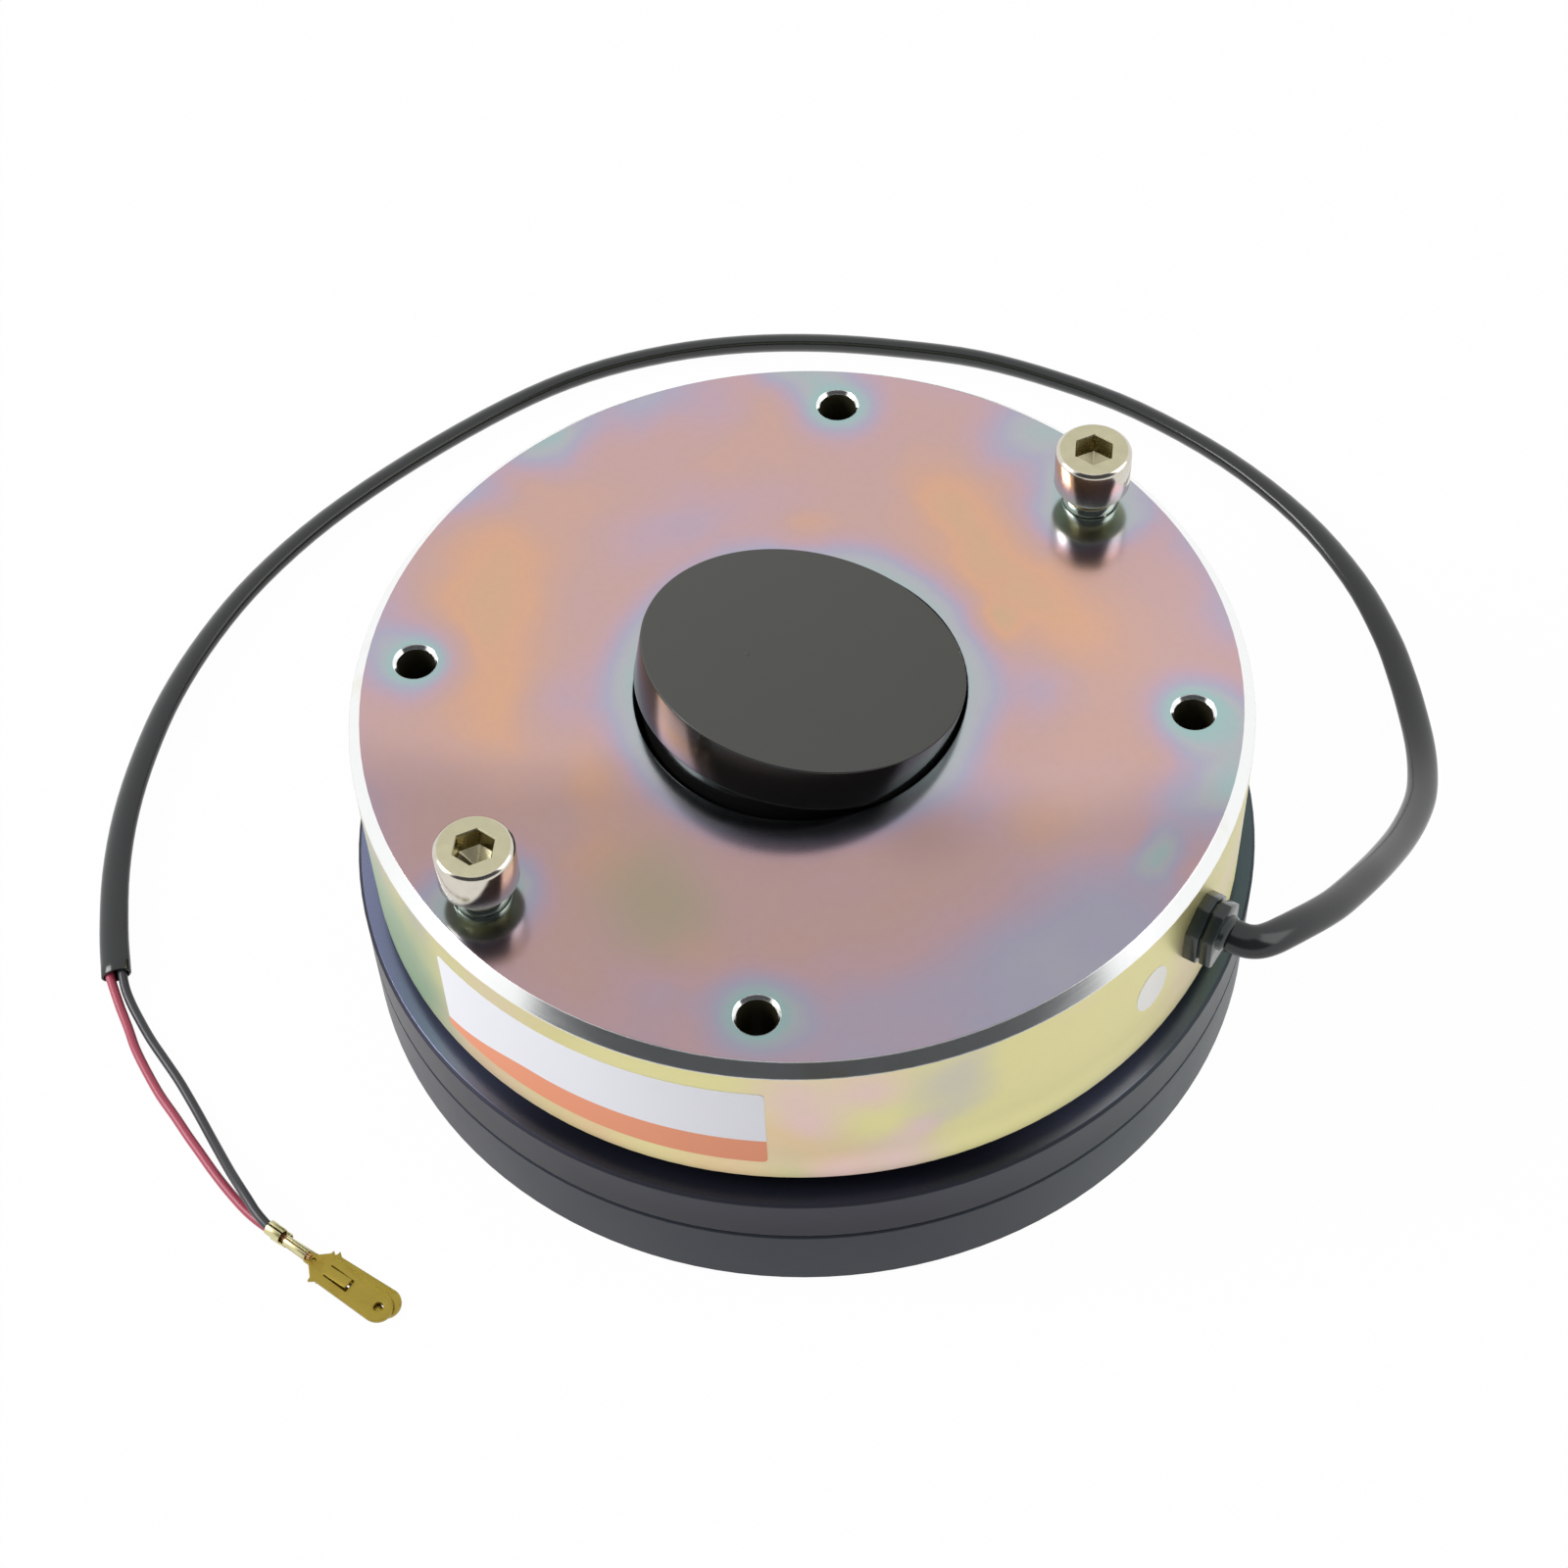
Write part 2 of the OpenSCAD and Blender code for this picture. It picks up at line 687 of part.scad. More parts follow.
black_route = routed([
    [-119.6, -29.35, 2.5], [-118.5, -32.1, 1.9], [-116.9, -34.8, 1.3], [-114.6, -38, 0.95],
    [-111.7, -41.8, 0.95], [-108.3, -45.7, 0.95], [-105, -49.5, 0.95], [-102.1, -53.2, 0.95],
    [-99.4, -56.8, 1.1], [-96.8, -60.4, 1.5], [-94.2, -64, 2.2], [-91.5, -67.7, 3],
    [-89.1, -70.8, 3.8], [-87, -73.4, 4.2], [-85.1, -75.7, 4.3], [-82.5, -78.1, 4.2]]);
wire_sides = 8;

function unit(v) = v / norm(v);
function place_of(p) = [p[0], p[1], p[2]];
function heading(route, i) = unit(
    place_of(route[min(i + 1, len(route) - 1)]) - place_of(route[max(i - 1, 0)]));

// Oval ring at point i, with its width level at no tilt
function oval_ring(route, i, w, t, sides, ahead) =
    let (level = unit(cross([0, 0, 1], ahead)),
        rise = cross(ahead, level),
        tilt = len(route[i]) > 3 ? route[i][3] : 0,
        wide = level * cos(tilt) + rise * sin(tilt),
        thin = cross(wide, ahead))
    [for (k = [0 : sides - 1])
        let (a = 360 * (k + 0.5) / sides)
        place_of(route[i]) + w / 2 * cos(a) * wide + t / 2 * sin(a) * thin];

function ahead_at(route, i, first, last) =
    i == 0 ? first : i == len(route) - 1 ? last : heading(route, i);

function cord_rings(route, w, t, sides, first, last) =
    [for (i = [0 : len(route) - 1]) oval_ring(route, i, w, t, sides, ahead_at(route, i, first, last))];

sheath_exit = [entry_dir[0], entry_dir[1], 0];
sheath_end = heading(sheath_route, len(sheath_route) - 1);

module cable_sheath()
    color("#3a3c40")
    swept(cord_rings(sheath_route, sheath_w, sheath_t, sheath_sides, sheath_exit, sheath_end));

module red_wire()
    color("#bc3c5e")
    swept(cord_rings(red_route, wire_d, wire_d, wire_sides, sheath_end, terminal_dir));

module black_wire()
    color("#3a3c42")
    swept(cord_rings(black_route, wire_d, wire_d, wire_sides, sheath_end, upper_terminal_dir));

// Terminals: each is one pressed strip with an insulation crimp, a wire crimp, a neck and a barbed blade.
// The upper one rests with its crimp on the lower one's crimp and its tip on the lower one's blade.

terminal_angle = -30;
crimp_l = 3;
wire_crimp_start = 3.7;
wire_crimp_end = 8.4;
wire_crimp_d = crimp_d - 0.8;
strip_w = crimp_d - 1;
neck_w = 2;
neck_hole_d = 0.9;
neck_hole_x = blade_start - 0.8;
flare_start = blade_start - 1.2;
flare_end = blade_start + 0.6;
barb_w = 0.7;
barb_l = 1;
barb_foot = 0.1;
hole_from_tip = 2.4;
tip_hole_d = 1.7;
lance_start = blade_start + 2.2;
lance_l = 4.6;
lance_w = 1.6;
lance_end = 0.6;
lance_rise = 0.4;
terminal_nose = asin((crimp_d - blade_t) / (terminal_l - crimp_l));
upper_floor = crimp_d + face_gap + crimp_l * sin(terminal_nose);
terminal_dir = [cos(terminal_angle), sin(terminal_angle), 0];
upper_terminal_dir = cos(terminal_nose) * terminal_dir + [0, 0, -sin(terminal_nose)];
red_end = place_of(red_route[len(red_route) - 1]);
black_end = place_of(black_route[len(black_route) - 1]);

// Local frame: X along the blade from the crimp's end, Z = 0 the underside of the strip
module terminal() {
    tip_r = blade_w / 2;
    difference() {
        union() {
            translate([0, -strip_w / 2, 0])
            cube([flare_end, strip_w, blade_t / 2]);
            crimp_barrel(0, crimp_l, crimp_d);
            crimp_barrel(wire_crimp_start, wire_crimp_end, wire_crimp_d);
            translate([wire_crimp_end - 1, -neck_w / 2, 0])
            cube([flare_end - wire_crimp_end + 1, neck_w, blade_t]);
            linear_extrude(blade_t)
            union() {
                polygon([
                    [flare_start, -neck_w / 2],
                    [flare_end, -tip_r],
                    [terminal_l - tip_r, -tip_r],
                    [terminal_l - tip_r, tip_r],
                    [flare_end, tip_r],
                    [flare_start, neck_w / 2]]);
                translate([terminal_l - tip_r, 0])
                circle(r = tip_r, $fn = 48);
                for (side = [-1, 1])
                    polygon([
                        [flare_end, side * (tip_r - barb_foot)],
                        [flare_end + barb_foot, side * (tip_r + barb_w)],
                        [flare_end + barb_l, side * (tip_r - barb_foot)]]);
            }
            lance();
        }
        translate([terminal_l - hole_from_tip, 0, -1])
        cylinder(d = tip_hole_d, h = 3, $fn = 32);
        translate([neck_hole_x, 0, -1])
        cylinder(d = neck_hole_d, h = 3, $fn = 24);
    }
}

module crimp_barrel(x0, x1, across)
    translate([0, 0, across / 2])
    along_x(across / 2, x0, x1, $fn = 32);

// Spring tongue pressed up out of the blade
module lance()
    translate([lance_start, 0, 0])
    rotate([90, 0, 0])
    translate([0, 0, -lance_w / 2])
    linear_extrude(lance_w)
    polygon([
        [0, blade_t / 2],
        [lance_l, blade_t / 2],
        [lance_l, blade_t + lance_rise],
        [lance_l - lance_end, blade_t + lance_rise],
        [0, blade_t]]);

module red_wire_terminal()
    color("#b49c4a")
    translate([red_end[0], red_end[1], 0])
    rotate([0, 0, terminal_angle])
    terminal();

module black_wire_terminal()
    color("#b49c4a")
    translate([black_end[0], black_end[1], upper_floor])
    rotate([0, 0, terminal_angle])
    rotate([0, terminal_nose, 0])
    terminal();

magnet_body();
coil_bobbin();
coil_winding();
potting_resin();
brake_springs();
friction_flange();
spacer_sleeves();
assembly_screws();
centre_cap();
lock_washers();
strain_relief();
cable_sheath();
red_wire();
black_wire();
red_wire_terminal();
black_wire_terminal();
armature_plate();
release_screw_left();
release_screw_right();
disc_carrier();
lining_upper();
lining_lower();
rotor_hub();
hub_ring();
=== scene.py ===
import math
from math import cos, pi, radians, sin, tau

import bmesh
import bpy
from bpy.props import FloatProperty, FloatVectorProperty, PointerProperty
from mathutils import Matrix, Vector


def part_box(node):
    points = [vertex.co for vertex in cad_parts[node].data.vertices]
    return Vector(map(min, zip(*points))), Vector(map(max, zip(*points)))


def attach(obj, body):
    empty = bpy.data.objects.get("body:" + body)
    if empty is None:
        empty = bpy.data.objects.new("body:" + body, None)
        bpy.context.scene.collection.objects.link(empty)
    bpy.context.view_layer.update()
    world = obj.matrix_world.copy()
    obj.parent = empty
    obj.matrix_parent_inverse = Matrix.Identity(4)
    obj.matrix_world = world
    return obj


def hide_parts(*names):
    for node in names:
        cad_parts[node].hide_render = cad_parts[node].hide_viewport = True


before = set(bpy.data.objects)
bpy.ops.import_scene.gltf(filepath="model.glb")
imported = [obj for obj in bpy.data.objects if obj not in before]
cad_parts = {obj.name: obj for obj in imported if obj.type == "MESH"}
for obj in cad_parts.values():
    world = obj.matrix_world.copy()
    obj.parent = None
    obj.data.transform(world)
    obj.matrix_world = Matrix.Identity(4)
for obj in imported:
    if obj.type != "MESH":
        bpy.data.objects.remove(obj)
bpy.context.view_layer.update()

bl_info = {
    "name": "Electric Parking Brake",
    "version": (1, 0, 0),
    "blender": (4, 5, 0),
    "location": "View3D > Sidebar > Brake",
    "description": "Visible pieces and finishes of an electric parking brake, round its CAD frame",
    "category": "Object",
}

MM = 0.001

# The Z axis is the shaft. The frame gives the boxes; the other sizes are those of the CAD solids.
BODY_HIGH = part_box("magnet_body")[1]
BODY_RADIUS = BODY_HIGH.x
TOP_Z = BODY_HIGH.z
SCREW_LOW, SCREW_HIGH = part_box("release_screw_right")
SCREW_TURN = radians(45)
SCREW_RADIUS = 64.75 * MM
HEAD_HEIGHT = 8 * MM
SOCKET_WALL, SOCKET_DEPTH = 4.0 * MM, 5.6 * MM
ENTRY_TURN = radians(-26)
ENTRY_Z = TOP_Z - 12 * MM
ENTRY_FACE = BODY_RADIUS + 4.6 * MM
BORE_RADIUS = 27.25 * MM
BORE_EDGE = 0.5 * MM
RUNNING_GAP = 0.05 * MM
CAP_TURN = radians(44)

# Blade terminals: the upper one leans down to the tip of the lower one; the first row is in millimetres
BARREL, STRIP, REACH, CRIMP = 2.6, 0.8, 26.2, 3.0
TERMINAL_TURN = radians(-30)
TERMINAL_NOSE = math.asin((BARREL - STRIP) / (REACH - CRIMP))
UPPER_FLOOR = BARREL + 0.05 + CRIMP * sin(TERMINAL_NOSE)
LOWER_SWING = radians(2.2)
FLARE, NECK, BARB = 11.2 * MM, 1.0 * MM, 0.7 * MM
TONGUE_START, TONGUE_LENGTH, TONGUE_WIDTH, TONGUE_RISE = 12.8 * MM, 4.6 * MM, 1.9 * MM, 0.75 * MM

# The camera was fitted to the photograph; the lamps are name, side in metres and place
CAMERA_TURN = Matrix((
    (0.993995, -0.067301, 0.086284), (0.105743, 0.793653, -0.59911), (-0.028159, 0.604636, 0.796004),
))
FLOOR_RADIUS = 4.0
LAMPS = (("key", 0.55, (-1.05, -0.17, 0.7)), ("fill", 0.7, (0.92, 0.08, 0.75)))
LAMP_AIM = Vector((0, 0, 0.03))


def srgb(red, green, blue):
    """Linear colour of 0 to 255 screen values."""
    return tuple(((v / 255 + 0.055) / 1.055) ** 2.4 for v in (red, green, blue))


def color_setting(name, description, red, green, blue):
    return FloatVectorProperty(
        name=name, description=description, subtype="COLOR", min=0, max=1, default=srgb(red, green, blue)
    )


def length_setting(name, description, millimetres):
    return FloatProperty(name=name, description=description, unit="LENGTH", min=0, default=millimetres * MM)


# Settings


class StageSettings(bpy.types.PropertyGroup):
    lens: FloatProperty(
        name="Lens", description="Focal length on a 36 mm wide sensor", unit="CAMERA", default=70.384,
    )
    camera_place: FloatVectorProperty(
        name="Camera place", description="Where the camera stands", subtype="TRANSLATION", unit="LENGTH",
        default=(0.042181, -0.316903, 0.453617),
    )
    key_power: FloatProperty(
        name="Key light", description="Power of the main soft light", unit="POWER", default=9.0,
    )
    fill_power: FloatProperty(
        name="Fill light", description="Power of the side light", unit="POWER", default=2.2,
    )
    ambient: FloatProperty(
        name="Ambient", description="Light that the room gives from all sides", min=0, default=0.45,
    )
    floor_color: color_setting("Floor", "Colour of the floor", 254, 254, 254)


class PlateSettings(bpy.types.PropertyGroup):
    teal: color_setting("Teal", "Film at the edges of the holes", 156, 190, 188)
    sea_green: color_setting("Sea green", "Thinnest film", 167, 186, 187)
    mist: color_setting("Mist", "Film between sea green and lavender", 178, 181, 186)
    lavender: color_setting("Lavender", "Cool film", 175, 171, 190)
    lilac: color_setting("Lilac", "Film between lavender and rose", 187, 166, 181)
    rose: color_setting("Rose", "Pink film", 196, 165, 170)
    mauve: color_setting("Mauve", "Film on most of the top", 198, 165, 161)
    salmon: color_setting("Salmon", "Warm film", 204, 166, 153)
    orange: color_setting("Orange", "Warmest film", 215, 169, 141)
    sand: color_setting("Sand", "Film between orange and olive", 203, 172, 142)
    olive: color_setting("Olive", "Thickest film", 177, 167, 140)
    straw: color_setting("Straw", "Plating round the side", 216, 209, 151)
    peach: color_setting("Peach", "Warm clouds round the side", 219, 190, 150)
    pink: color_setting("Pink", "Pink clouds round the side", 218, 189, 188)
    leaf: color_setting("Leaf", "Green clouds round the side", 146, 174, 138)
    bare: color_setting("Bright steel", "Turned chamfer", 246, 247, 247)
    # Painted shade: this dark colour goes on the hole walls, the bore's edge and the wall under the rim,
    # where these recesses lie in shade.
    pole: color_setting("Pole", "Oiled steel of the stepped-down pole end", 32, 32, 35)


class SteelSettings(bpy.types.PropertyGroup):
    flange: color_setting("Flange", "Phosphated flange", 41, 45, 54)
    armature: color_setting("Armature", "Side of the armature plate", 46, 47, 57)
    ledge: color_setting("Ground face", "Ground faces of the armature plate", 118, 124, 156)
    hub: color_setting("Hub", "Machined hub and carrier", 170, 172, 176)


class CableSettings(bpy.types.PropertyGroup):
    width: length_setting("Width", "Width of the flat sheath", 5.6)
    thickness: length_setting("Thickness", "Thickness of the flat sheath", 3.7)
    wire: length_setting("Wire", "Diameter of a wire over its insulation", 1.7)
    sheath: color_setting("Sheath", "Colour of the sheath", 38, 41, 42)
    red: color_setting("Red wire", "Colour of the red wire", 176, 70, 92)
    black: color_setting("Black wire", "Colour of the black wire", 50, 51, 56)


class TerminalSettings(bpy.types.PropertyGroup):
    blade_width: length_setting("Blade width", "Width of the blade", 5.4)
    blade_thickness: length_setting("Blade thickness", "Thickness of the strip", STRIP)
    reach: length_setting("Length", "Length from the crimp to the tip", REACH)
    barrel: length_setting("Barrel", "Diameter of the insulation crimp", BARREL)
    brass: color_setting("Brass", "Colour of the pressed strip", 162, 142, 64)


class ScrewSettings(bpy.types.PropertyGroup):
    head: length_setting("Head", "Head diameter", 13)
    shank: length_setting("Thread", "Thread diameter", 8)
    pitch: length_setting("Pitch", "Rise of the thread in one turn", 1.25)
    flats: length_setting("Socket", "Width across the flats of the socket", 6)
    plating: color_setting("Plating", "Nickel plating", 212, 206, 194)
    face: color_setting("Face", "Turned top faces, slightly golden", 194, 189, 158)


class CapSettings(bpy.types.PropertyGroup):
    radius: length_setting("Radius", "Radius of the rim", 27.15)
    rim: length_setting("Rim", "Thickness of the rim", 8.5)
    skirt: length_setting("Skirt", "Radius of the skirt", 25.15)
    lean: FloatProperty(
        name="Lean", description="Angle at which it sits", subtype="ANGLE", default=radians(14.1),
    )
    lift: length_setting("Lift", "Height of the low top edge above the plate", 0.42)
    plastic: color_setting("Plastic", "Colour of the cap", 74, 75, 71)


class LabelSettings(bpy.types.PropertyGroup):
    start: FloatProperty(
        name="Start", description="Compass angle of the left end", subtype="ANGLE", default=radians(-134.3),
    )
    end: FloatProperty(
        name="End", description="Compass angle of the right end", subtype="ANGLE", default=radians(-88.5),
    )
    low: length_setting("Low edge", "Height of the lower edge", 33.1)
    high: length_setting("High edge", "Height of the upper edge", 53.1)
    stripe: length_setting("Stripe", "Height of the coloured stripe", 6.3)
    paper: color_setting("Paper", "Colour of the field", 240, 241, 248)
    orange: color_setting("Stripe colour", "Colour of the stripe", 240, 152, 112)


# Materials


class Value:
    """A number that a material works out at each point; arithmetic on it adds nodes."""

    def __init__(self, finish, socket):
        self.finish = finish
        self.socket = socket

    def math(self, operation, first, second=0.0, clamp=False):
        settings = {"operation": operation, "use_clamp": clamp}
        return self.finish.node("ShaderNodeMath", settings, {0: first, 1: second})

    def __add__(self, other):
        return self.math("ADD", self, other)

    def __sub__(self, other):
        return self.math("SUBTRACT", self, other)

    def __rsub__(self, other):
        return self.math("SUBTRACT", other, self)

    def __mul__(self, other):
        return self.math("MULTIPLY", self, other)

    def __pow__(self, other):
        return self.math("POWER", self, other)

    __radd__ = __add__
    __rmul__ = __mul__

    def sine(self):
        return self.math("SINE", self)

    def waves(self, pitch):
        """Even waves between -1 and 1."""
        return (self * (tau / pitch)).sine()

    def clamped(self):
        return self.math("ADD", self, 0.0, clamp=True)

    def smooth(self, low, high):
        """0 below low and 1 above high, or the other way round where low is the larger."""
        return self.finish.node(
            "ShaderNodeMapRange", {"interpolation_type": "SMOOTHSTEP"},
            {"Value": self, "From Min": low, "From Max": high},
        )


class Finish:
    """A node tree that is written as expressions."""

    def __init__(self, name, owner=None):
        if owner is None:
            owner = bpy.data.materials.new(name)
            owner.use_nodes = True
        self.owner = owner
        self.tree = owner.node_tree
        self.tree.nodes.clear()

    def node(self, kind, settings, inputs, output=None):
        """Adds a node: its settings, then its sockets' values or links, and gives one output."""
        made = self.tree.nodes.new(kind)
        for key, value in settings.items():
            if key == "stops":
                ramp = made.color_ramp
                while len(ramp.elements) < len(value):
                    ramp.elements.new(1.0)
                for element, (place, color) in zip(ramp.elements, value):
                    element.position = place
                    element.color = (*color, 1.0)
            else:
                setattr(made, key, value)
        for key, value in inputs.items():
            if isinstance(key, int):
                socket = made.inputs[key]
            else:
                socket = next(s for s in made.inputs if s.enabled and s.name == key)
            if isinstance(value, Value):
                self.tree.links.new(value.socket, socket)
            elif socket.type == "RGBA":
                socket.default_value = (*value[:3], 1.0)
            else:
                socket.default_value = value
        if not made.outputs:
            return None
        if output:
            return Value(self, made.outputs[output])
        return Value(self, next(s for s in made.outputs if s.enabled))

    def place(self):
        return self.node("ShaderNodeTexCoord", {}, {}, "Object")

    def facing_up(self):
        """The height part of the surface's own direction: 1 on top faces, 0 on walls."""
        normal = self.node("ShaderNodeTexCoord", {}, {}, "Normal")
        return self.node("ShaderNodeSeparateXYZ", {}, {0: normal}, "Z")

    def parts(self, vector):
        return [self.node("ShaderNodeSeparateXYZ", {}, {0: vector}, axis) for axis in "XYZ"]

    def across(self, vector):
        """Distance from the shaft axis."""
        x, y, _ = self.parts(vector)
        return (x * x + y * y) ** 0.5

    def noise(self, vector, scale, detail=2.0, roughness=0.5, output="Fac"):
        return self.node(
            "ShaderNodeTexNoise", {},
            {"Vector": vector, "Scale": scale, "Detail": detail, "Roughness": roughness}, output,
        )

    def stretched(self, vector, x, y, z):
        return self.node("ShaderNodeMapping", {}, {"Vector": vector, "Scale": (x, y, z)})

    def warped(self, vector, scale, amount):
        """The place shifted by a slow noise, so that clouds have ragged edges."""
        drift = self.noise(vector, scale, 2.0, 0.5, "Color")
        middle = (0.5, 0.5, 0.5)
        centred = self.node("ShaderNodeVectorMath", {"operation": "SUBTRACT"}, {0: drift, 1: middle})
        shift = self.node("ShaderNodeVectorMath", {"operation": "SCALE"}, {0: centred, "Scale": amount})
        return self.node("ShaderNodeVectorMath", {"operation": "ADD"}, {0: vector, 1: shift})

    def near(self, vector, point, reach):
        """1 at a point and 0 beyond its reach."""
        gap = self.node("ShaderNodeVectorMath", {"operation": "DISTANCE"}, {0: vector, 1: point}, "Value")
        return gap.smooth(reach, 0.0)

    def mix(self, factor, first, second):
        inputs = {"Factor": factor, "A": first, "B": second}
        return self.node("ShaderNodeMix", {"data_type": "RGBA"}, inputs)

    def shaded(self, color, factor):
        """A colour made lighter or darker by a number."""
        return self.node("ShaderNodeVectorMath", {"operation": "SCALE"}, {0: color, "Scale": factor})

    def bump(self, height, distance, strength=1.0, edge=0.0):
        inputs = {"Height": height, "Distance": distance, "Strength": strength}
        if edge:
            inputs["Normal"] = self.node("ShaderNodeBevel", {"samples": 4}, {"Radius": edge})
        return self.node("ShaderNodeBump", {}, inputs)

    def surface(self, **inputs):
        """Ends the material in one Principled shader; spaces in socket names are written as underscores."""
        named = {key.replace("_", " "): value for key, value in inputs.items()}
        shader = self.node("ShaderNodeBsdfPrincipled", {}, named)
        self.node("ShaderNodeOutputMaterial", {}, {"Surface": shader})
        return self.owner


def color_of(setting):
    return tuple(setting)


# Film on the top plate: x, y and reach in millimetres, then the swell, or the dip, in its thickness
FILM_SWELLS = (
    (-55, 20, 17, 0.28), (-53, 4, 18, 0.27), (-50, -11, 15, 0.2), (25, 37, 18, 0.27),
    (36, 24, 18, 0.27), (46, 14, 14, 0.14), (20, 48, 14, 0.1), (-12, 51, 22, 0.06),
    (-45, 36, 20, 0.06), (46, -8, 24, 0.04), (41, -25, 11, 0.1), (-27, -37, 12, 0.12),
    (-12, -53, 10, 0.1), (-31, -24, 10, 0.14), (-48, -26, 16, 0.06), (-2, 33, 8, 0.25),
    (30, 18, 7, 0.2), (51, -42, 24, -0.34), (36, -57, 21, -0.34), (17, -66, 17, -0.28),
    (65, -20, 14, -0.3), (68, -4, 13, -0.24), (60, -30, 9, -0.42), (68, -13, 13, -0.14),
    (72, -14, 9, -0.26), (72, 22, 15, -0.24), (66, 38, 14, -0.24), (36, 62, 16, -0.46),
    (46, 55, 10, -0.34), (-51, 54, 15, -0.56), (-63, 38, 13, -0.3), (-35, 64, 13, -0.3),
    (-22, 62, 11, -0.18), (-8, 72, 12, -0.42), (-73, 8, 12, -0.18), (-38, -5, 14, -0.16),
    (-31, 30, 13, -0.16), (-21, 37, 13, -0.18), (-8, 41, 12, -0.1), (38, 3, 12, -0.2),
    (-70, -30, 14, -0.08), (30, -22, 12, -0.14), (-15, -64, 14, -0.14),
)
# Colours of the film from its thinnest to its thickest part
FILM_LEVELS = (
    (0.0, "sea_green"), (0.12, "mist"), (0.24, "lavender"), (0.36, "lilac"), (0.46, "rose"),
    (0.56, "mauve"), (0.66, "salmon"), (0.78, "orange"), (0.9, "sand"), (1.0, "olive"),
)
# Clouds round the side: colour and strength, then the compass angle, height and reach of each
SIDE_CLOUDS = (
    ("straw", 0.9, ((-50, 44, 26), (-62, 36, 14), (-40, 34, 18), (-75, 46, 12), (-36, 52, 14))),
    ("peach", 0.85, ((-96, 30, 16), (-112, 31, 15), (-126, 31, 12), (-86, 42, 14), (-80, 34, 12))),
    ("pink", 0.85, (
        (-84, 54, 12), (-76, 56, 10), (-83, 47, 8), (-72, 32, 13), (-80, 30, 10), (-70, 40, 7),
    )),
    ("lavender", 0.45, ((-66, 46, 11), (-67, 54, 9), (-152, 54, 12), (-160, 46, 14), (-139, 56, 8))),
    ("leaf", 1.0, ((-145, 41, 22), (-151, 32, 20), (-139, 32, 14), (-157, 42, 18))),
)


def zinc_top(finish, settings, place, cloud):
    """Colour of the top plate: the film's thickness and its colours, then painted shade on the front half,
    painted light on the right and a painted shadow of the cap.
    """
    radius = finish.across(place)
    _, north, _ = finish.parts(place)

    def spot(vector, x, y, reach):
        return finish.near(vector, (x * MM, y * MM, TOP_Z), reach * MM)

    film = (finish.noise(cloud, 48.0, 3.0, 0.6) - 0.5) * 0.2 + 0.56
    film = film - radius.smooth(37.5 * MM, 27.2 * MM) * 0.5 - radius.smooth(67 * MM, 77 * MM) * 0.12
    for x, y, reach, rise in FILM_SWELLS:
        film = film + spot(cloud, x, y, reach) * rise

    # Four fixing holes, and two release holes between them
    rings = []
    for turn in (0, 1, 2, 4, 5, 6):
        x, y = SCREW_RADIUS / MM * cos(turn * pi / 4), SCREW_RADIUS / MM * sin(turn * pi / 4)
        if turn % 2 == 0:
            film = film - spot(place, x, y, 12.5) * 0.6
            rings.append(spot(place, x, y, 8.2).smooth(0.0, 0.75))
        else:
            film = film - spot(cloud, x, y, 14.5) * 0.7

    stops = [(level, color_of(getattr(settings, name))) for level, name in FILM_LEVELS]
    top = finish.node("ShaderNodeValToRGB", {"stops": stops}, {"Fac": film})
    for ring in rings:
        top = finish.mix(ring, top, color_of(settings.teal))
    top = finish.mix(spot(cloud, -18, -44, 16) * 0.8, top, color_of(settings.olive))

    # Painted shade: the colour of the front half of the top is darkened in place of a dimmer reflection
    # there; the noise makes its edge uneven.
    drift = (finish.noise(place, 20.0, 3.0, 0.55) - 0.5) * 0.02
    front = (north + drift).smooth(-12 * MM, -30 * MM)
    # Painted light: two soft spots on the right lighten the colour.
    right = spot(cloud, 58, 12, 34) + spot(cloud, 46, -22, 20)
    # Painted shadow: the cap's shade in front of it and to its right is darkened into the colour.
    painted_cap_shadow = spot(place, 22, -26, 14)
    return finish.shaded(top, 1.0 - front * 0.24 + right * 0.06 - painted_cap_shadow * 0.12)


def zinc_side(finish, settings, place, cloud):
    """Colour of the wall: clouds like those of the photograph in front, noise clouds at the back."""
    east, _, height = finish.parts(place)
    banded = finish.warped(finish.stretched(place, 1.0, 1.0, 1.6), 24.0, 0.014)
    pink_clouds = finish.noise(banded, 26.0, 1.0).smooth(0.52, 0.66) * 0.4
    leaf_clouds = finish.noise(banded, 15.0, 1.0).smooth(0.56, 0.7) * 0.5
    side = finish.mix(pink_clouds, color_of(settings.straw), color_of(settings.pink))
    side = finish.mix(leaf_clouds, side, color_of(settings.leaf))
    for name, amount, spots in SIDE_CLOUDS:
        color = color_of(getattr(settings, name))
        for compass, level, reach in spots:
            turn = radians(compass)
            spot = (BODY_RADIUS * cos(turn), BODY_RADIUS * sin(turn), level * MM)
            side = finish.mix(finish.near(cloud, spot, reach * MM) * amount, side, color)
    # Painted light and shade: the wall's colour is raised a little overall and more lower down, where it
    # reflects the dark ledge, and darkened towards the left.
    low = height.smooth(37 * MM, 28 * MM)
    painted_left_shade = east.smooth(-35 * MM, -65 * MM)
    return finish.shaded(side, 1.06 + low * 0.3 - painted_left_shade * 0.16)


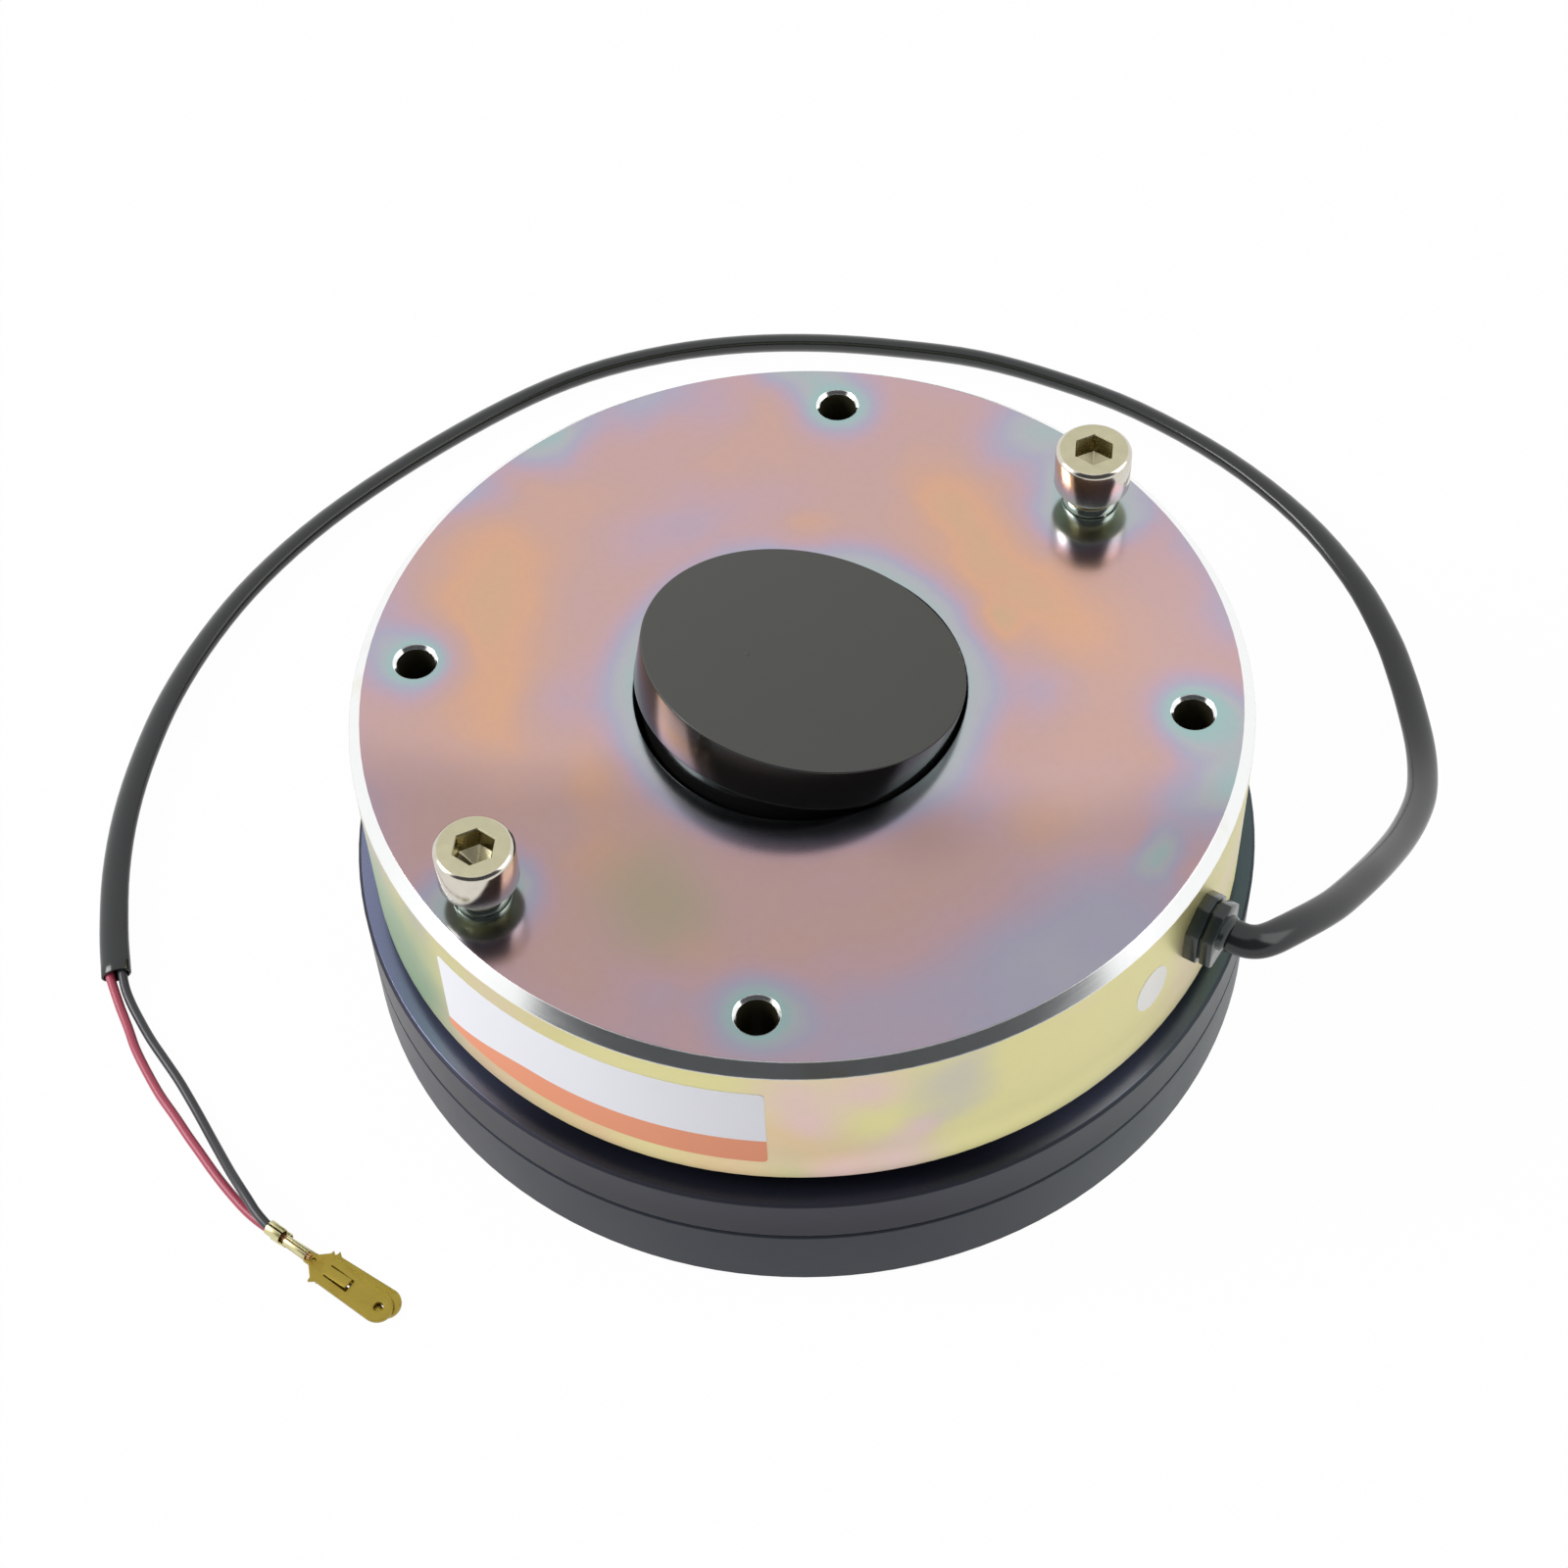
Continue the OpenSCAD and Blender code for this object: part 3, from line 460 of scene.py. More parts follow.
def zinc_finish(settings):
    """Yellow passivated zinc: colours that follow the film's thickness, and a bright chamfer."""
    finish = Finish("yellow_zinc")
    place = finish.place()
    up = finish.facing_up()
    radius = finish.across(place)
    height = finish.parts(place)[2]
    cloud = finish.warped(finish.warped(place, 26.0, 0.014), 95.0, 0.005)
    top = zinc_top(finish, settings, place, cloud)
    side = zinc_side(finish, settings, place, cloud)
    pole = color_of(settings.pole)

    flat = up.smooth(0.8, 0.95)
    slope = up.smooth(0.2, 0.33)
    fine = finish.noise(place, 700.0, 2.0, 0.6)
    streak = finish.noise(finish.stretched(place, 1.0, 1.0, 0.2), 75.0, 3.0, 0.6).smooth(0.56, 0.72)
    chamfer = finish.mix(streak * 0.3, color_of(settings.bare), color_of(settings.straw))
    color = finish.mix(slope, side, chamfer)
    color = finish.mix(flat, color, top)
    # Painted shade: the walls of the holes, the bore's edge and the wall under the rim take the dark recess
    # colour.
    bore_edge = radius.smooth(28.4 * MM, 27.6 * MM) * (1.0 - flat)
    hole_walls = radius.smooth(72.8 * MM, 72.2 * MM) * (1.0 - slope)
    color = finish.mix((bore_edge + hole_walls * 0.85).clamped(), color, pole)
    color = finish.mix(height.smooth(28.4 * MM, 27.8 * MM), color, pole)
    color = finish.shaded(color, 0.98 + fine * 0.04)
    turned = radius.waves(0.36 * MM) * 0.5 + 0.5
    grain = finish.noise(finish.stretched(place, 1.0, 1.0, 14.0), 200.0, 3.0, 0.6)
    relief = turned * flat * 0.2 + grain * 0.35 + fine * 0.12
    rough = 0.4 + (grain - 0.5) * 0.06 - slope * 0.28 + flat * 0.045
    return finish.surface(
        Base_Color=color,
        Metallic=slope * 0.2 + 0.8,
        Roughness=rough.clamped(),
        Normal=finish.bump(relief, 0.00002, 0.3, edge=0.35 * MM),
    )


def dark_steel_finish(name, node, side_color, face_color, face_roughness, low_shade=0.0):
    """Phosphated, oiled steel: turned sides that darken downwards and carry painted light tints on each
    side, and ground faces with painted shade in front and a painted reflection tint on the right.
    """
    finish = Finish(name)
    place = finish.place()
    up = finish.facing_up()
    radius = finish.across(place)
    east, north, height = finish.parts(place)
    low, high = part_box(node)
    cloud = finish.noise(place, 38.0, 4.0, 0.6)
    speck = finish.noise(place, 2400.0, 2.0, 0.7)
    feed = height.waves(0.45 * MM)
    rings = radius.waves(0.4 * MM)
    flat = (up * up).smooth(0.7, 0.95)
    # Painted light: the walls are tinted bluer on the left and lighter and greener on the right, after how
    # light and reflections fall on each side.
    wall = finish.mix(east.smooth(-20 * MM, -80 * MM) * 0.6, side_color, srgb(44, 43, 58))
    wall = finish.mix(east.smooth(20 * MM, 80 * MM) * 0.5, wall, srgb(58, 70, 72))
    wall = finish.shaded(wall, 1.0 - height.smooth(high.z, low.z) * low_shade)
    # Painted shade: the front of the ground faces is darkened in their colour, in place of the dark gap that
    # they reflect there.
    painted_ledge_shade = north.smooth(-52 * MM, -69 * MM)
    # Painted reflection: the right-hand part of the ground faces takes a green-grey tint.
    face = finish.mix(east.smooth(58 * MM, 71 * MM), face_color, srgb(72, 86, 90))
    color = finish.mix(flat, wall, finish.shaded(face, 1.0 - painted_ledge_shade * 0.8))
    color = finish.shaded(color, 0.82 + cloud * 0.28 + speck * 0.1)
    rough = 0.42 + (cloud - 0.5) * 0.16 - flat * (0.42 - face_roughness)
    relief = feed * (1.0 - flat) * 0.25 + rings * flat * 0.2 + speck * 0.45
    return finish.surface(
        Base_Color=color,
        Metallic=0.7,
        Roughness=rough.clamped(),
        Normal=finish.bump(relief, 0.00002, 0.4, edge=0.3 * MM),
    )


def plated_finish(name, color, roughness, brushed=0.0, face=None):
    """Bright plated or machined steel with fine turning lines and a few handling marks."""
    finish = Finish(name)
    place = finish.place()
    up = finish.facing_up()
    height = finish.parts(place)[2]
    cloud = finish.noise(place, 420.0, 3.0, 0.6)
    fine = finish.noise(place, 5200.0, 2.0, 0.6)
    lines = height.waves(0.22 * MM)
    flat = (up * up).smooth(0.8, 0.97)
    tint = finish.mix(flat, color, face) if face else color
    tint = finish.shaded(tint, 0.86 + cloud * 0.26)
    rough = roughness + cloud * 0.12 - 0.05 + flat * brushed
    relief = lines * (1.0 - flat) * 0.2 + fine * 0.4
    return finish.surface(
        Base_Color=tint,
        Metallic=1.0,
        Roughness=rough.clamped(),
        Normal=finish.bump(relief, 0.00001, 0.35, edge=0.1 * MM),
    )


def brass_finish(name, color):
    """Rolled brass strip with a dull tarnish in patches."""
    finish = Finish(name)
    place = finish.place()
    cloud = finish.noise(place, 260.0, 4.0, 0.6)
    streak = finish.noise(finish.stretched(place, 1.0, 9.0, 1.0), 700.0, 2.0, 0.6)
    tint = finish.mix(cloud.smooth(0.5, 0.75) * 0.6, color, srgb(140, 112, 44))
    tint = finish.shaded(tint, 0.9 + streak * 0.2)
    return finish.surface(
        Base_Color=tint,
        Metallic=1.0,
        Roughness=(0.22 + cloud * 0.2).clamped(),
        Normal=finish.bump(streak, 0.00001, 0.35, edge=0.1 * MM),
    )


def moulded_finish(name, color, roughness, grain_scale, depth=0.00002):
    """Moulded plastic or rubber: fine grain, faint clouds and a little dust."""
    finish = Finish(name)
    place = finish.place()
    grain = finish.noise(place, grain_scale, 3.0, 0.65)
    cloud = finish.noise(place, 60.0, 3.0, 0.5)
    tint = finish.shaded(color, 0.88 + cloud * 0.24)
    return finish.surface(
        Base_Color=tint,
        Roughness=(roughness + (cloud - 0.5) * 0.12 + (grain - 0.5) * 0.1).clamped(),
        Normal=finish.bump(grain, depth, 0.5),
    )


def cap_finish(color):
    """Cap: a fine matt top and a smooth, polished rim."""
    finish = Finish("cap_plastic")
    place = finish.place()
    up = finish.facing_up()
    face = up.smooth(0.7, 0.9)
    grain = finish.noise(place, 4200.0, 3.0, 0.7)
    cloud = finish.noise(place, 45.0, 3.0, 0.5)
    tint = finish.mix(face, srgb(21, 22, 21), color)
    tint = finish.shaded(tint, 0.93 + cloud * 0.14)
    return finish.surface(
        Base_Color=tint,
        Roughness=(0.14 + face * 0.48 + (cloud - 0.5) * 0.06).clamped(),
        Normal=finish.bump(grain * face, 0.00002, 0.5),
    )


def wire_finish(name, color, roughness):
    """Extruded insulation: faint lines along the cord and scuffs, on the cord's own map in metres."""
    finish = Finish(name)
    along = finish.node("ShaderNodeUVMap", {"uv_map": "cord"}, {})
    lines = finish.noise(finish.stretched(along, 2400.0, 12.0, 1.0), 1.0, 2.0, 0.6)
    scuff = finish.noise(finish.stretched(along, 300.0, 90.0, 1.0), 1.0, 4.0, 0.65)
    tint = finish.shaded(color, 0.86 + scuff * 0.24 + lines * 0.06)
    return finish.surface(
        Base_Color=tint,
        Roughness=(roughness + (scuff - 0.5) * 0.16).clamped(),
        Normal=finish.bump(lines * 0.6 + scuff * 0.6, 0.00003, 0.4),
    )


def winding_finish():
    """Enamelled wire in close layers."""
    finish = Finish("copper")
    place = finish.place()
    height = finish.parts(place)[2]
    turns = height.waves(0.6 * MM) * 0.5 + 0.5
    tint = finish.mix(turns, srgb(96, 44, 24), srgb(206, 122, 74))
    return finish.surface(
        Base_Color=tint, Metallic=0.9, Roughness=0.3, Normal=finish.bump(turns, 0.0001, 0.8),
    )


def lining_finish():
    """Pressed friction lining: brown-black matrix with brass and mineral fibres."""
    finish = Finish("lining")
    place = finish.place()
    fibre = finish.noise(finish.stretched(place, 1.0, 5.0, 1.0), 700.0, 4.0, 0.7)
    fleck = finish.noise(place, 1600.0, 1.0, 0.4).smooth(0.68, 0.74)
    tint = finish.mix(fibre.smooth(0.4, 0.7), srgb(58, 50, 45), srgb(98, 84, 70))
    tint = finish.mix(fleck, tint, srgb(176, 150, 92))
    return finish.surface(
        Base_Color=tint, Roughness=(0.75 + (fibre - 0.5) * 0.3).clamped(),
        Normal=finish.bump(fibre + fleck, 0.00006, 0.6),
    )


def resin_finish():
    """Cast resin: dark, glassy, with small pits."""
    finish = Finish("resin")
    place = finish.place()
    pits = finish.noise(place, 900.0, 2.0, 0.5).smooth(0.7, 0.76)
    swirl = finish.noise(place, 60.0, 4.0, 0.6)
    tint = finish.mix(swirl, srgb(52, 40, 34), srgb(84, 62, 48))
    return finish.surface(
        Base_Color=tint, Roughness=(0.22 + swirl * 0.2).clamped(),
        Normal=finish.bump(swirl * 0.3 - pits, 0.0001, 0.6),
    )


def label_finish(settings):
    """Printed film: a bare pale field over a coloured stripe that narrows to the left, where a painted
    highlight in the field's pale colour covers its top.
    """
    finish = Finish("label_film")
    place = finish.place()
    east, _, height = finish.parts(place)
    grain = finish.noise(place, 1800.0, 3.0, 0.6)
    cloud = finish.noise(place, 40.0, 3.0, 0.5)
    # Painted highlight: towards the left the pale field colour takes over the top of the stripe, in place of
    # glare on the film.
    painted_glare_drop = east.smooth(-36.5 * MM, -54.5 * MM) * 4.2 * MM
    blur = 0.12 * MM
    stripe = (height + painted_glare_drop - settings.low - settings.stripe).smooth(blur, -blur)
    tint = finish.mix(stripe, color_of(settings.paper), color_of(settings.orange))
    tint = finish.shaded(tint, 0.96 + cloud * 0.06 + grain * 0.02)
    return finish.surface(
        Base_Color=tint, Roughness=(0.42 + cloud * 0.1).clamped(),
        Normal=finish.bump(grain, 0.00001, 0.3),
    )


# Mesh tools


def mesh_object(name, bm, materials):
    """Makes a bmesh into an object of the scene."""
    mesh = bpy.data.meshes.new(name)
    bm.to_mesh(mesh)
    bm.free()
    obj = bpy.data.objects.new(name, mesh)
    bpy.context.scene.collection.objects.link(obj)
    for material in materials:
        mesh.materials.append(material)
    return obj


def piece(name, bm, materials, body, replaced=(), sharp=32):
    """Makes a bmesh into a piece that rides on a body; edges sharper than an angle stay hard."""
    obj = mesh_object(name, bm, materials)
    obj.data.shade_smooth()
    obj.data.set_sharp_from_angle(angle=radians(sharp))
    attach(obj, body)
    if replaced:
        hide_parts(*replaced)
    return obj


def tidy(bm, gap=1e-7):
    """Merges doubled points and turns all faces outwards."""
    bmesh.ops.remove_doubles(bm, verts=bm.verts, dist=gap)
    bmesh.ops.recalc_face_normals(bm, faces=bm.faces)


def outline(bm, points, closed=True):
    """A line of edges through points of (radius, height) in the XZ plane."""
    verts = [bm.verts.new((r, 0, z)) for r, z in points]
    pairs = list(zip(verts, verts[1:]))
    if closed:
        pairs.append((verts[-1], verts[0]))
    return verts + [bm.edges.new(pair) for pair in pairs]


def lathe(bm, points, steps, closed=True):
    """Spins a line of (radius, height) points once round the Z axis."""
    bmesh.ops.spin(
        bm, geom=outline(bm, points, closed), cent=(0, 0, 0), axis=(0, 0, 1), dvec=(0, 0, 0),
        angle=tau, steps=steps, use_merge=True, use_duplicate=False,
    )
    tidy(bm)


def sweep(bm, points, angle, steps, axis=(0, 0, 1), rise=0.0):
    """Spins a face with corners (x, z) part of a turn or several, with a rise along Z at each step."""
    start = bm.faces.new([bm.verts.new((x, 0, z)) for x, z in points])
    bmesh.ops.spin(
        bm, geom=[start], cent=(0, 0, 0), axis=axis, dvec=(0, 0, rise), angle=angle, steps=steps,
        use_merge=False, use_duplicate=False,
    )


def soften(bm, width, segments=2, sharper_than=35, chosen=None):
    """Rounds the sharp edges, or those of them that are chosen."""
    edges = [
        e for e in bm.edges
        if len(e.link_faces) == 2 and e.calc_face_angle() > radians(sharper_than)
        and (chosen is None or chosen(e))
    ]
    bmesh.ops.bevel(
        bm, geom=edges, offset=width, offset_type="OFFSET", segments=segments, profile=0.5, material=-1,
        affect="EDGES", clamp_overlap=True,
    )


def thicken(bm, faces, depth):
    """Gives a flat sheet a thickness along Z."""
    raised = bmesh.ops.extrude_face_region(bm, geom=faces, use_keep_orig=True)
    points = [g for g in raised["geom"] if isinstance(g, bmesh.types.BMVert)]
    bmesh.ops.translate(bm, verts=points, vec=(0, 0, depth))


def plate(bm, loops, thickness):
    """A flat sheet with its outer line first and its holes after it, in XY, given a thickness along Z."""
    edges = []
    for loop in loops:
        verts = [bm.verts.new((x, y, 0)) for x, y in loop]
        edges += [bm.edges.new(pair) for pair in zip(verts, verts[1:] + verts[:1])]
    filled = bmesh.ops.triangle_fill(bm, use_beauty=True, use_dissolve=False, edges=edges)
    thicken(bm, [g for g in filled["geom"] if isinstance(g, bmesh.types.BMFace)], thickness)
    tidy(bm)


def arc(x, y, radius, start, end, steps):
    """Points on an arc, its angles in degrees."""
    turns = [radians(start + (end - start) * i / steps) for i in range(steps + 1)]
    return [(x + radius * cos(t), y + radius * sin(t)) for t in turns]


def hole(x, y, radius, steps=28):
    return arc(x, y, radius, 0, 360 * (steps - 1) / steps, steps - 1)


def next_ring(bm, ring, height, radius_at):
    """Extrudes a ring of edges to a height, at the radius that a function gives for each angle."""
    made = bmesh.ops.extrude_edge_only(bm, edges=ring)["geom"]
    points = {g for g in made if isinstance(g, bmesh.types.BMVert)}
    for point in points:
        turn = math.atan2(point.co.y, point.co.x)
        radius = radius_at(turn)
        point.co = (radius * cos(turn), radius * sin(turn), height)
    return [g for g in made if isinstance(g, bmesh.types.BMEdge) and all(v in points for v in g.verts)]


def circle_of(radius):
    return lambda turn: radius


def hexagon_of(flats, corner):
    """Radius of a hexagon with a corner at an angle."""
    sixth = pi / 3
    return lambda turn: flats / 2 / cos((turn - corner) % sixth - sixth / 2)


def smooth_route(points, parts):
    """Points on one smooth curve through the route's points, each with any number of values."""
    route = [Vector(p) for p in points]
    made = []
    for i in range(len(route) - 1):
        before = route[i - 1] if i else route[0] * 2 - route[1]
        after = route[i + 2] if i + 2 < len(route) else route[-1] * 2 - route[-2]
        a, b = route[i], route[i + 1]
        for k in range(parts):
            t = k / parts
            made.append(
                0.5 * (2 * a + (b - before) * t + (2 * before - 5 * a + 4 * b - after) * t * t
                       + (3 * a - before - 3 * b + after) * t ** 3)
            )
    made.append(route[-1])
    return made


def route_length(path):
    return sum((b - a).length for a, b in zip(path, path[1:]))


def cord_mesh(path, tilts, wide, thick, sides, ends=()):
    """An oval tube along a path; ends are extra rings inside its last one, as (share, depth)."""
    count = len(path)
    far = 0.0
    rings = []
    for i, point in enumerate(path):
        ahead = (path[min(i + 1, count - 1)] - path[max(i - 1, 0)]).normalized()
        level = Vector((0, 0, 1)).cross(ahead).normalized()
        side = level * cos(tilts[i]) + ahead.cross(level) * sin(tilts[i])
        far += (point - path[max(i - 1, 0)]).length
        rings.append((point, side, side.cross(ahead), 1.0, far))
    for share, depth in ends:
        point, side, flat, _, far = rings[count - 1]
        rings.append((point - ahead * depth, side, flat, share, far))

    bm = bmesh.new()
    row = bmesh.ops.create_circle(bm, cap_ends=True, segments=sides, radius=1.0)["verts"]
    turns = {vert: math.atan2(vert.co.y, vert.co.x) for vert in row}
    reached = {}
    for point, side, flat, share, far in rings:
        if reached:
            edges = {e for v in row for e in v.link_edges if e.other_vert(v) in row}
            made = set(bmesh.ops.extrude_edge_only(bm, edges=list(edges))["geom"])
            next_row = []
            for vert in row:
                copy = next(e.other_vert(vert) for e in vert.link_edges if e.other_vert(vert) in made)
                turns[copy] = turns[vert]
                next_row.append(copy)
            row = next_row
        for vert in row:
            reached[vert] = far
            across, over = cos(turns[vert]) * wide / 2 * share, sin(turns[vert]) * thick / 2 * share
            vert.co = point + side * across + flat * over
    bmesh.ops.contextual_create(bm, geom=list(row))
    bmesh.ops.recalc_face_normals(bm, faces=bm.faces)

    layer = bm.loops.layers.uv.new("cord")
    girth = pi * (wide + thick) / 2
    for face in bm.faces:
        first = turns[face.loops[0].vert]
        for loop in face.loops:
            turn = (turns[loop.vert] - first + pi) % tau - pi + first
            loop[layer].uv = (turn / tau * girth, reached[loop.vert])
    return bm


# Cable


def entry_point(beyond):
    """A route point straight out of the strain relief, so many millimetres beyond its face."""
    reach = ENTRY_FACE / MM + beyond
    return (reach * cos(ENTRY_TURN), reach * sin(ENTRY_TURN), ENTRY_Z / MM, 25)


# The same routes as the CAD solids: x, y and z in millimetres, with the tilt in degrees for the sheath
SHEATH_ROUTE = [
    entry_point(0), entry_point(1.8),
    (75.1, -36.2, 47.4, 25), (77.1, -35.9, 47.1, 24.5), (79.2, -34.6, 46.5, 24), (81.5, -32.4, 45.5, 23),
    (84.1, -29.5, 43.9, 21), (87, -25.9, 41.6, 19), (90, -21.6, 38.8, 17), (93, -16.3, 35.4, 14),
    (96.8, -8.9, 30.6, 11), (100.3, -1.1, 25.2, 8), (103.6, 7, 19.8, 6), (106.5, 15.5, 14.8, 5),
    (108.6, 23.8, 10.5, 5), (109.5, 32, 7, 5), (109.5, 40.1, 4.5, 5), (108.6, 48.2, 3, 6),
    (106.9, 57.3, 2.3, 8), (103.9, 68, 2.2, 14), (97.9, 81.7, 2.3, 22), (87.7, 96.6, 2.5, 32),
    (72.8, 111, 2.7, 42), (54.7, 123, 2.8, 48), (38.1, 130.1, 2.9, 51), (21.9, 134.9, 2.9, 52),
    (5.6, 136.7, 2.9, 52), (-10.6, 137.1, 2.9, 51), (-26.9, 135.6, 2.8, 50), (-42.7, 131.6, 2.8, 48),
    (-58.5, 124.6, 2.8, 46), (-73.1, 114.2, 2.7, 44), (-90, 97.8, 2.7, 41), (-104.5, 80.6, 2.6, 38),
    (-114.6, 64.2, 2.6, 36), (-121.1, 48.9, 2.5, 35), (-125.2, 33.6, 2.5, 33), (-127, 19.2, 2.5, 31),
    (-127.3, 5.5, 2.4, 28), (-126, -7.8, 2.3, 24), (-123.3, -20.6, 2.2, 19), (-120.7, -29.6, 2.2, 15),
]
RED_ROUTE = [
    (-121.8, -29.97, 1.9), (-120.3, -32.8, 1.6), (-118.6, -35.9, 1.2), (-116.4, -39.6, 0.95),
    (-114, -43.9, 0.95), (-110.8, -48.5, 0.95), (-107.5, -52.8, 0.95), (-104, -56.7, 0.95),
    (-100.9, -60.3, 0.95), (-98, -63.5, 0.95), (-95.3, -66.5, 0.95), (-92.6, -69.3, 0.95),
    (-90, -71.8, 0.95), (-87.5, -74, 1), (-84.9, -75.9, 1.2), (-82, -77.6, 1.3),
]
BLACK_ROUTE = [
    (-119.6, -29.35, 2.5), (-118.5, -32.1, 1.9), (-116.9, -34.8, 1.3), (-114.6, -38, 0.95),
    (-111.7, -41.8, 0.95), (-108.3, -45.7, 0.95), (-105, -49.5, 0.95), (-102.1, -53.2, 0.95),
    (-99.4, -56.8, 1.1), (-96.8, -60.4, 1.5), (-94.2, -64, 2.2), (-91.5, -67.7, 3),
    (-89.1, -70.8, 3.8), (-87, -73.4, 4.2), (-85.1, -75.7, 4.3), (-82.5, -78.1, 4.2),
]


def wire_piece(name, route, nose, color, node):
    """A wire that starts inside the sheath and ends inside its terminal's crimp."""
    points = [Vector(p) * MM for p in route]
    backwards = (points[0] - points[1]).normalized()
    forwards = Vector((cos(nose) * cos(TERMINAL_TURN), cos(nose) * sin(TERMINAL_TURN), -sin(nose)))
    inside_sheath, inside_crimp = 1.6 * MM, 2.5 * MM
    points.insert(0, points[0] + backwards * inside_sheath)
    points.append(points[-1] + forwards * inside_crimp)
    path = smooth_route(points, 4)
    size = bpy.context.scene.brake_cable.wire
    bm = cord_mesh(path, [0.0] * len(path), size, size, 20)
    insulation = wire_finish(name + "_pvc", color, 0.36)
    wire = piece(name, bm, [insulation], "housing", (node,))
    route_length(path)
    return wire


def terminal_blade(width, reach, strip):
    """The neck and the barbed blade, with two holes and the tongue's window."""
    half = [
        (8.2 * MM, -NECK), (9.4 * MM, -NECK), (FLARE, -width), (FLARE + 0.1 * MM, -width - BARB),
        (FLARE + 1.0 * MM, -width),
    ]
    outer = half + arc(reach - width, 0, width, -90, 90, 24) + [(x, -y) for x, y in reversed(half)]
    slot = 0.2 * MM
    left, right, side = TONGUE_START, TONGUE_START + TONGUE_LENGTH + slot, TONGUE_WIDTH / 2 + slot
    window = [(left, -side), (right, -side), (right, side), (left, side)]
    tip_hole, neck_hole = hole(reach - 2.4 * MM, 0, 0.85 * MM), hole(9.8 * MM, 0, 0.45 * MM, 16)
    blade = bmesh.new()
    plate(blade, [outer, tip_hole, neck_hole, window], strip)
    soften(blade, 0.09 * MM, 2, 50)
    return blade


def terminal_floor(strip):
    """The narrow strip under the crimps."""
    side = 0.8 * MM
    bm = bmesh.new()
    plate(bm, [[(0, -side), (FLARE, -side), (FLARE, side), (0, side)]], strip / 2)
    soften(bm, 0.06 * MM, 2)
    return bm


def terminal_tongue(strip):
    """The sprung tongue that rises out of the blade."""
    sheet, root = 0.35 * MM, 0.3 * MM
    bm = bmesh.new()
    bmesh.ops.create_grid(bm, x_segments=10, y_segments=1, size=0.5)
    for vert in bm.verts:
        share = vert.co.x + 0.5
        along = TONGUE_START - root + share * (TONGUE_LENGTH + root)
        vert.co = (along, vert.co.y * TONGUE_WIDTH, strip - sheet + TONGUE_RISE * share ** 1.5)
    thicken(bm, list(bm.faces), sheet)
    tidy(bm)
    soften(bm, 0.05 * MM, 2)
    return bm


def crimp(first, last, across):
    """A barrel rolled from strip, with its seam on top."""
    bm = bmesh.new()
    outer = across / 2
    inner = outer - 0.26 * MM
    sweep(bm, [(first, outer), (last, outer), (last, inner), (first, inner)], radians(346), 40, (1, 0, 0))
    tidy(bm)
    soften(bm, 0.07 * MM, 2, 50)
    lift = Matrix.Translation((0, 0, outer)) @ Matrix.Rotation(radians(7), 4, "X")
    bmesh.ops.transform(bm, matrix=lift, verts=bm.verts)
    return bm


def strand(index):
    """One of the seven bare strands between the crimps, the last in the middle."""
    bm = bmesh.new()
    radius = 0.19 * MM
    bmesh.ops.create_cone(
        bm, cap_ends=True, segments=8, radius1=radius, radius2=radius, depth=6.4 * MM,
    )
    off = 0.0 if index == 6 else 0.4 * MM
    turn = index * tau / 6
    centre = (5.9 * MM, off * cos(turn), 0.95 * MM + off * sin(turn))
    spin = Matrix.Translation(centre) @ Matrix.Rotation(pi / 2, 4, "Y")
    bmesh.ops.transform(bm, matrix=spin, verts=bm.verts)
    return bm


def terminal_piece(name, place, swing, nose, node, materials):
    """A brass blade terminal: rolled crimps round insulation and strands, a neck, and a barbed blade."""
    settings = bpy.context.scene.brake_terminals
    strip, barrel = settings.blade_thickness, settings.barrel
    whole = bmesh.new()
    append(whole, terminal_blade(settings.blade_width / 2, settings.reach, strip))
    append(whole, terminal_floor(strip))
    append(whole, terminal_tongue(strip))
    append(whole, crimp(0.0, 3.0 * MM, barrel), 2)
    append(whole, crimp(3.7 * MM, 8.4 * MM, barrel - 0.8 * MM), 2)
    for index in range(7):
        append(whole, strand(index), 1)

    turned = (Matrix.Translation(place) @ Matrix.Rotation(TERMINAL_TURN + swing, 4, "Z")
              @ Matrix.Rotation(nose, 4, "Y"))
    bmesh.ops.transform(whole, matrix=turned, verts=whole.verts)
    return piece(name, whole, materials, "housing", (node,))


def append(whole, part, material=0):
    """Joins one bmesh to another and frees it; material is its place in the piece's list."""
    if material:
        for face in part.faces:
            face.material_index = material
    mesh = bpy.data.meshes.new("join")
    part.to_mesh(mesh)
    part.free()
    whole.from_mesh(mesh)
    bpy.data.meshes.remove(mesh)


# Operators


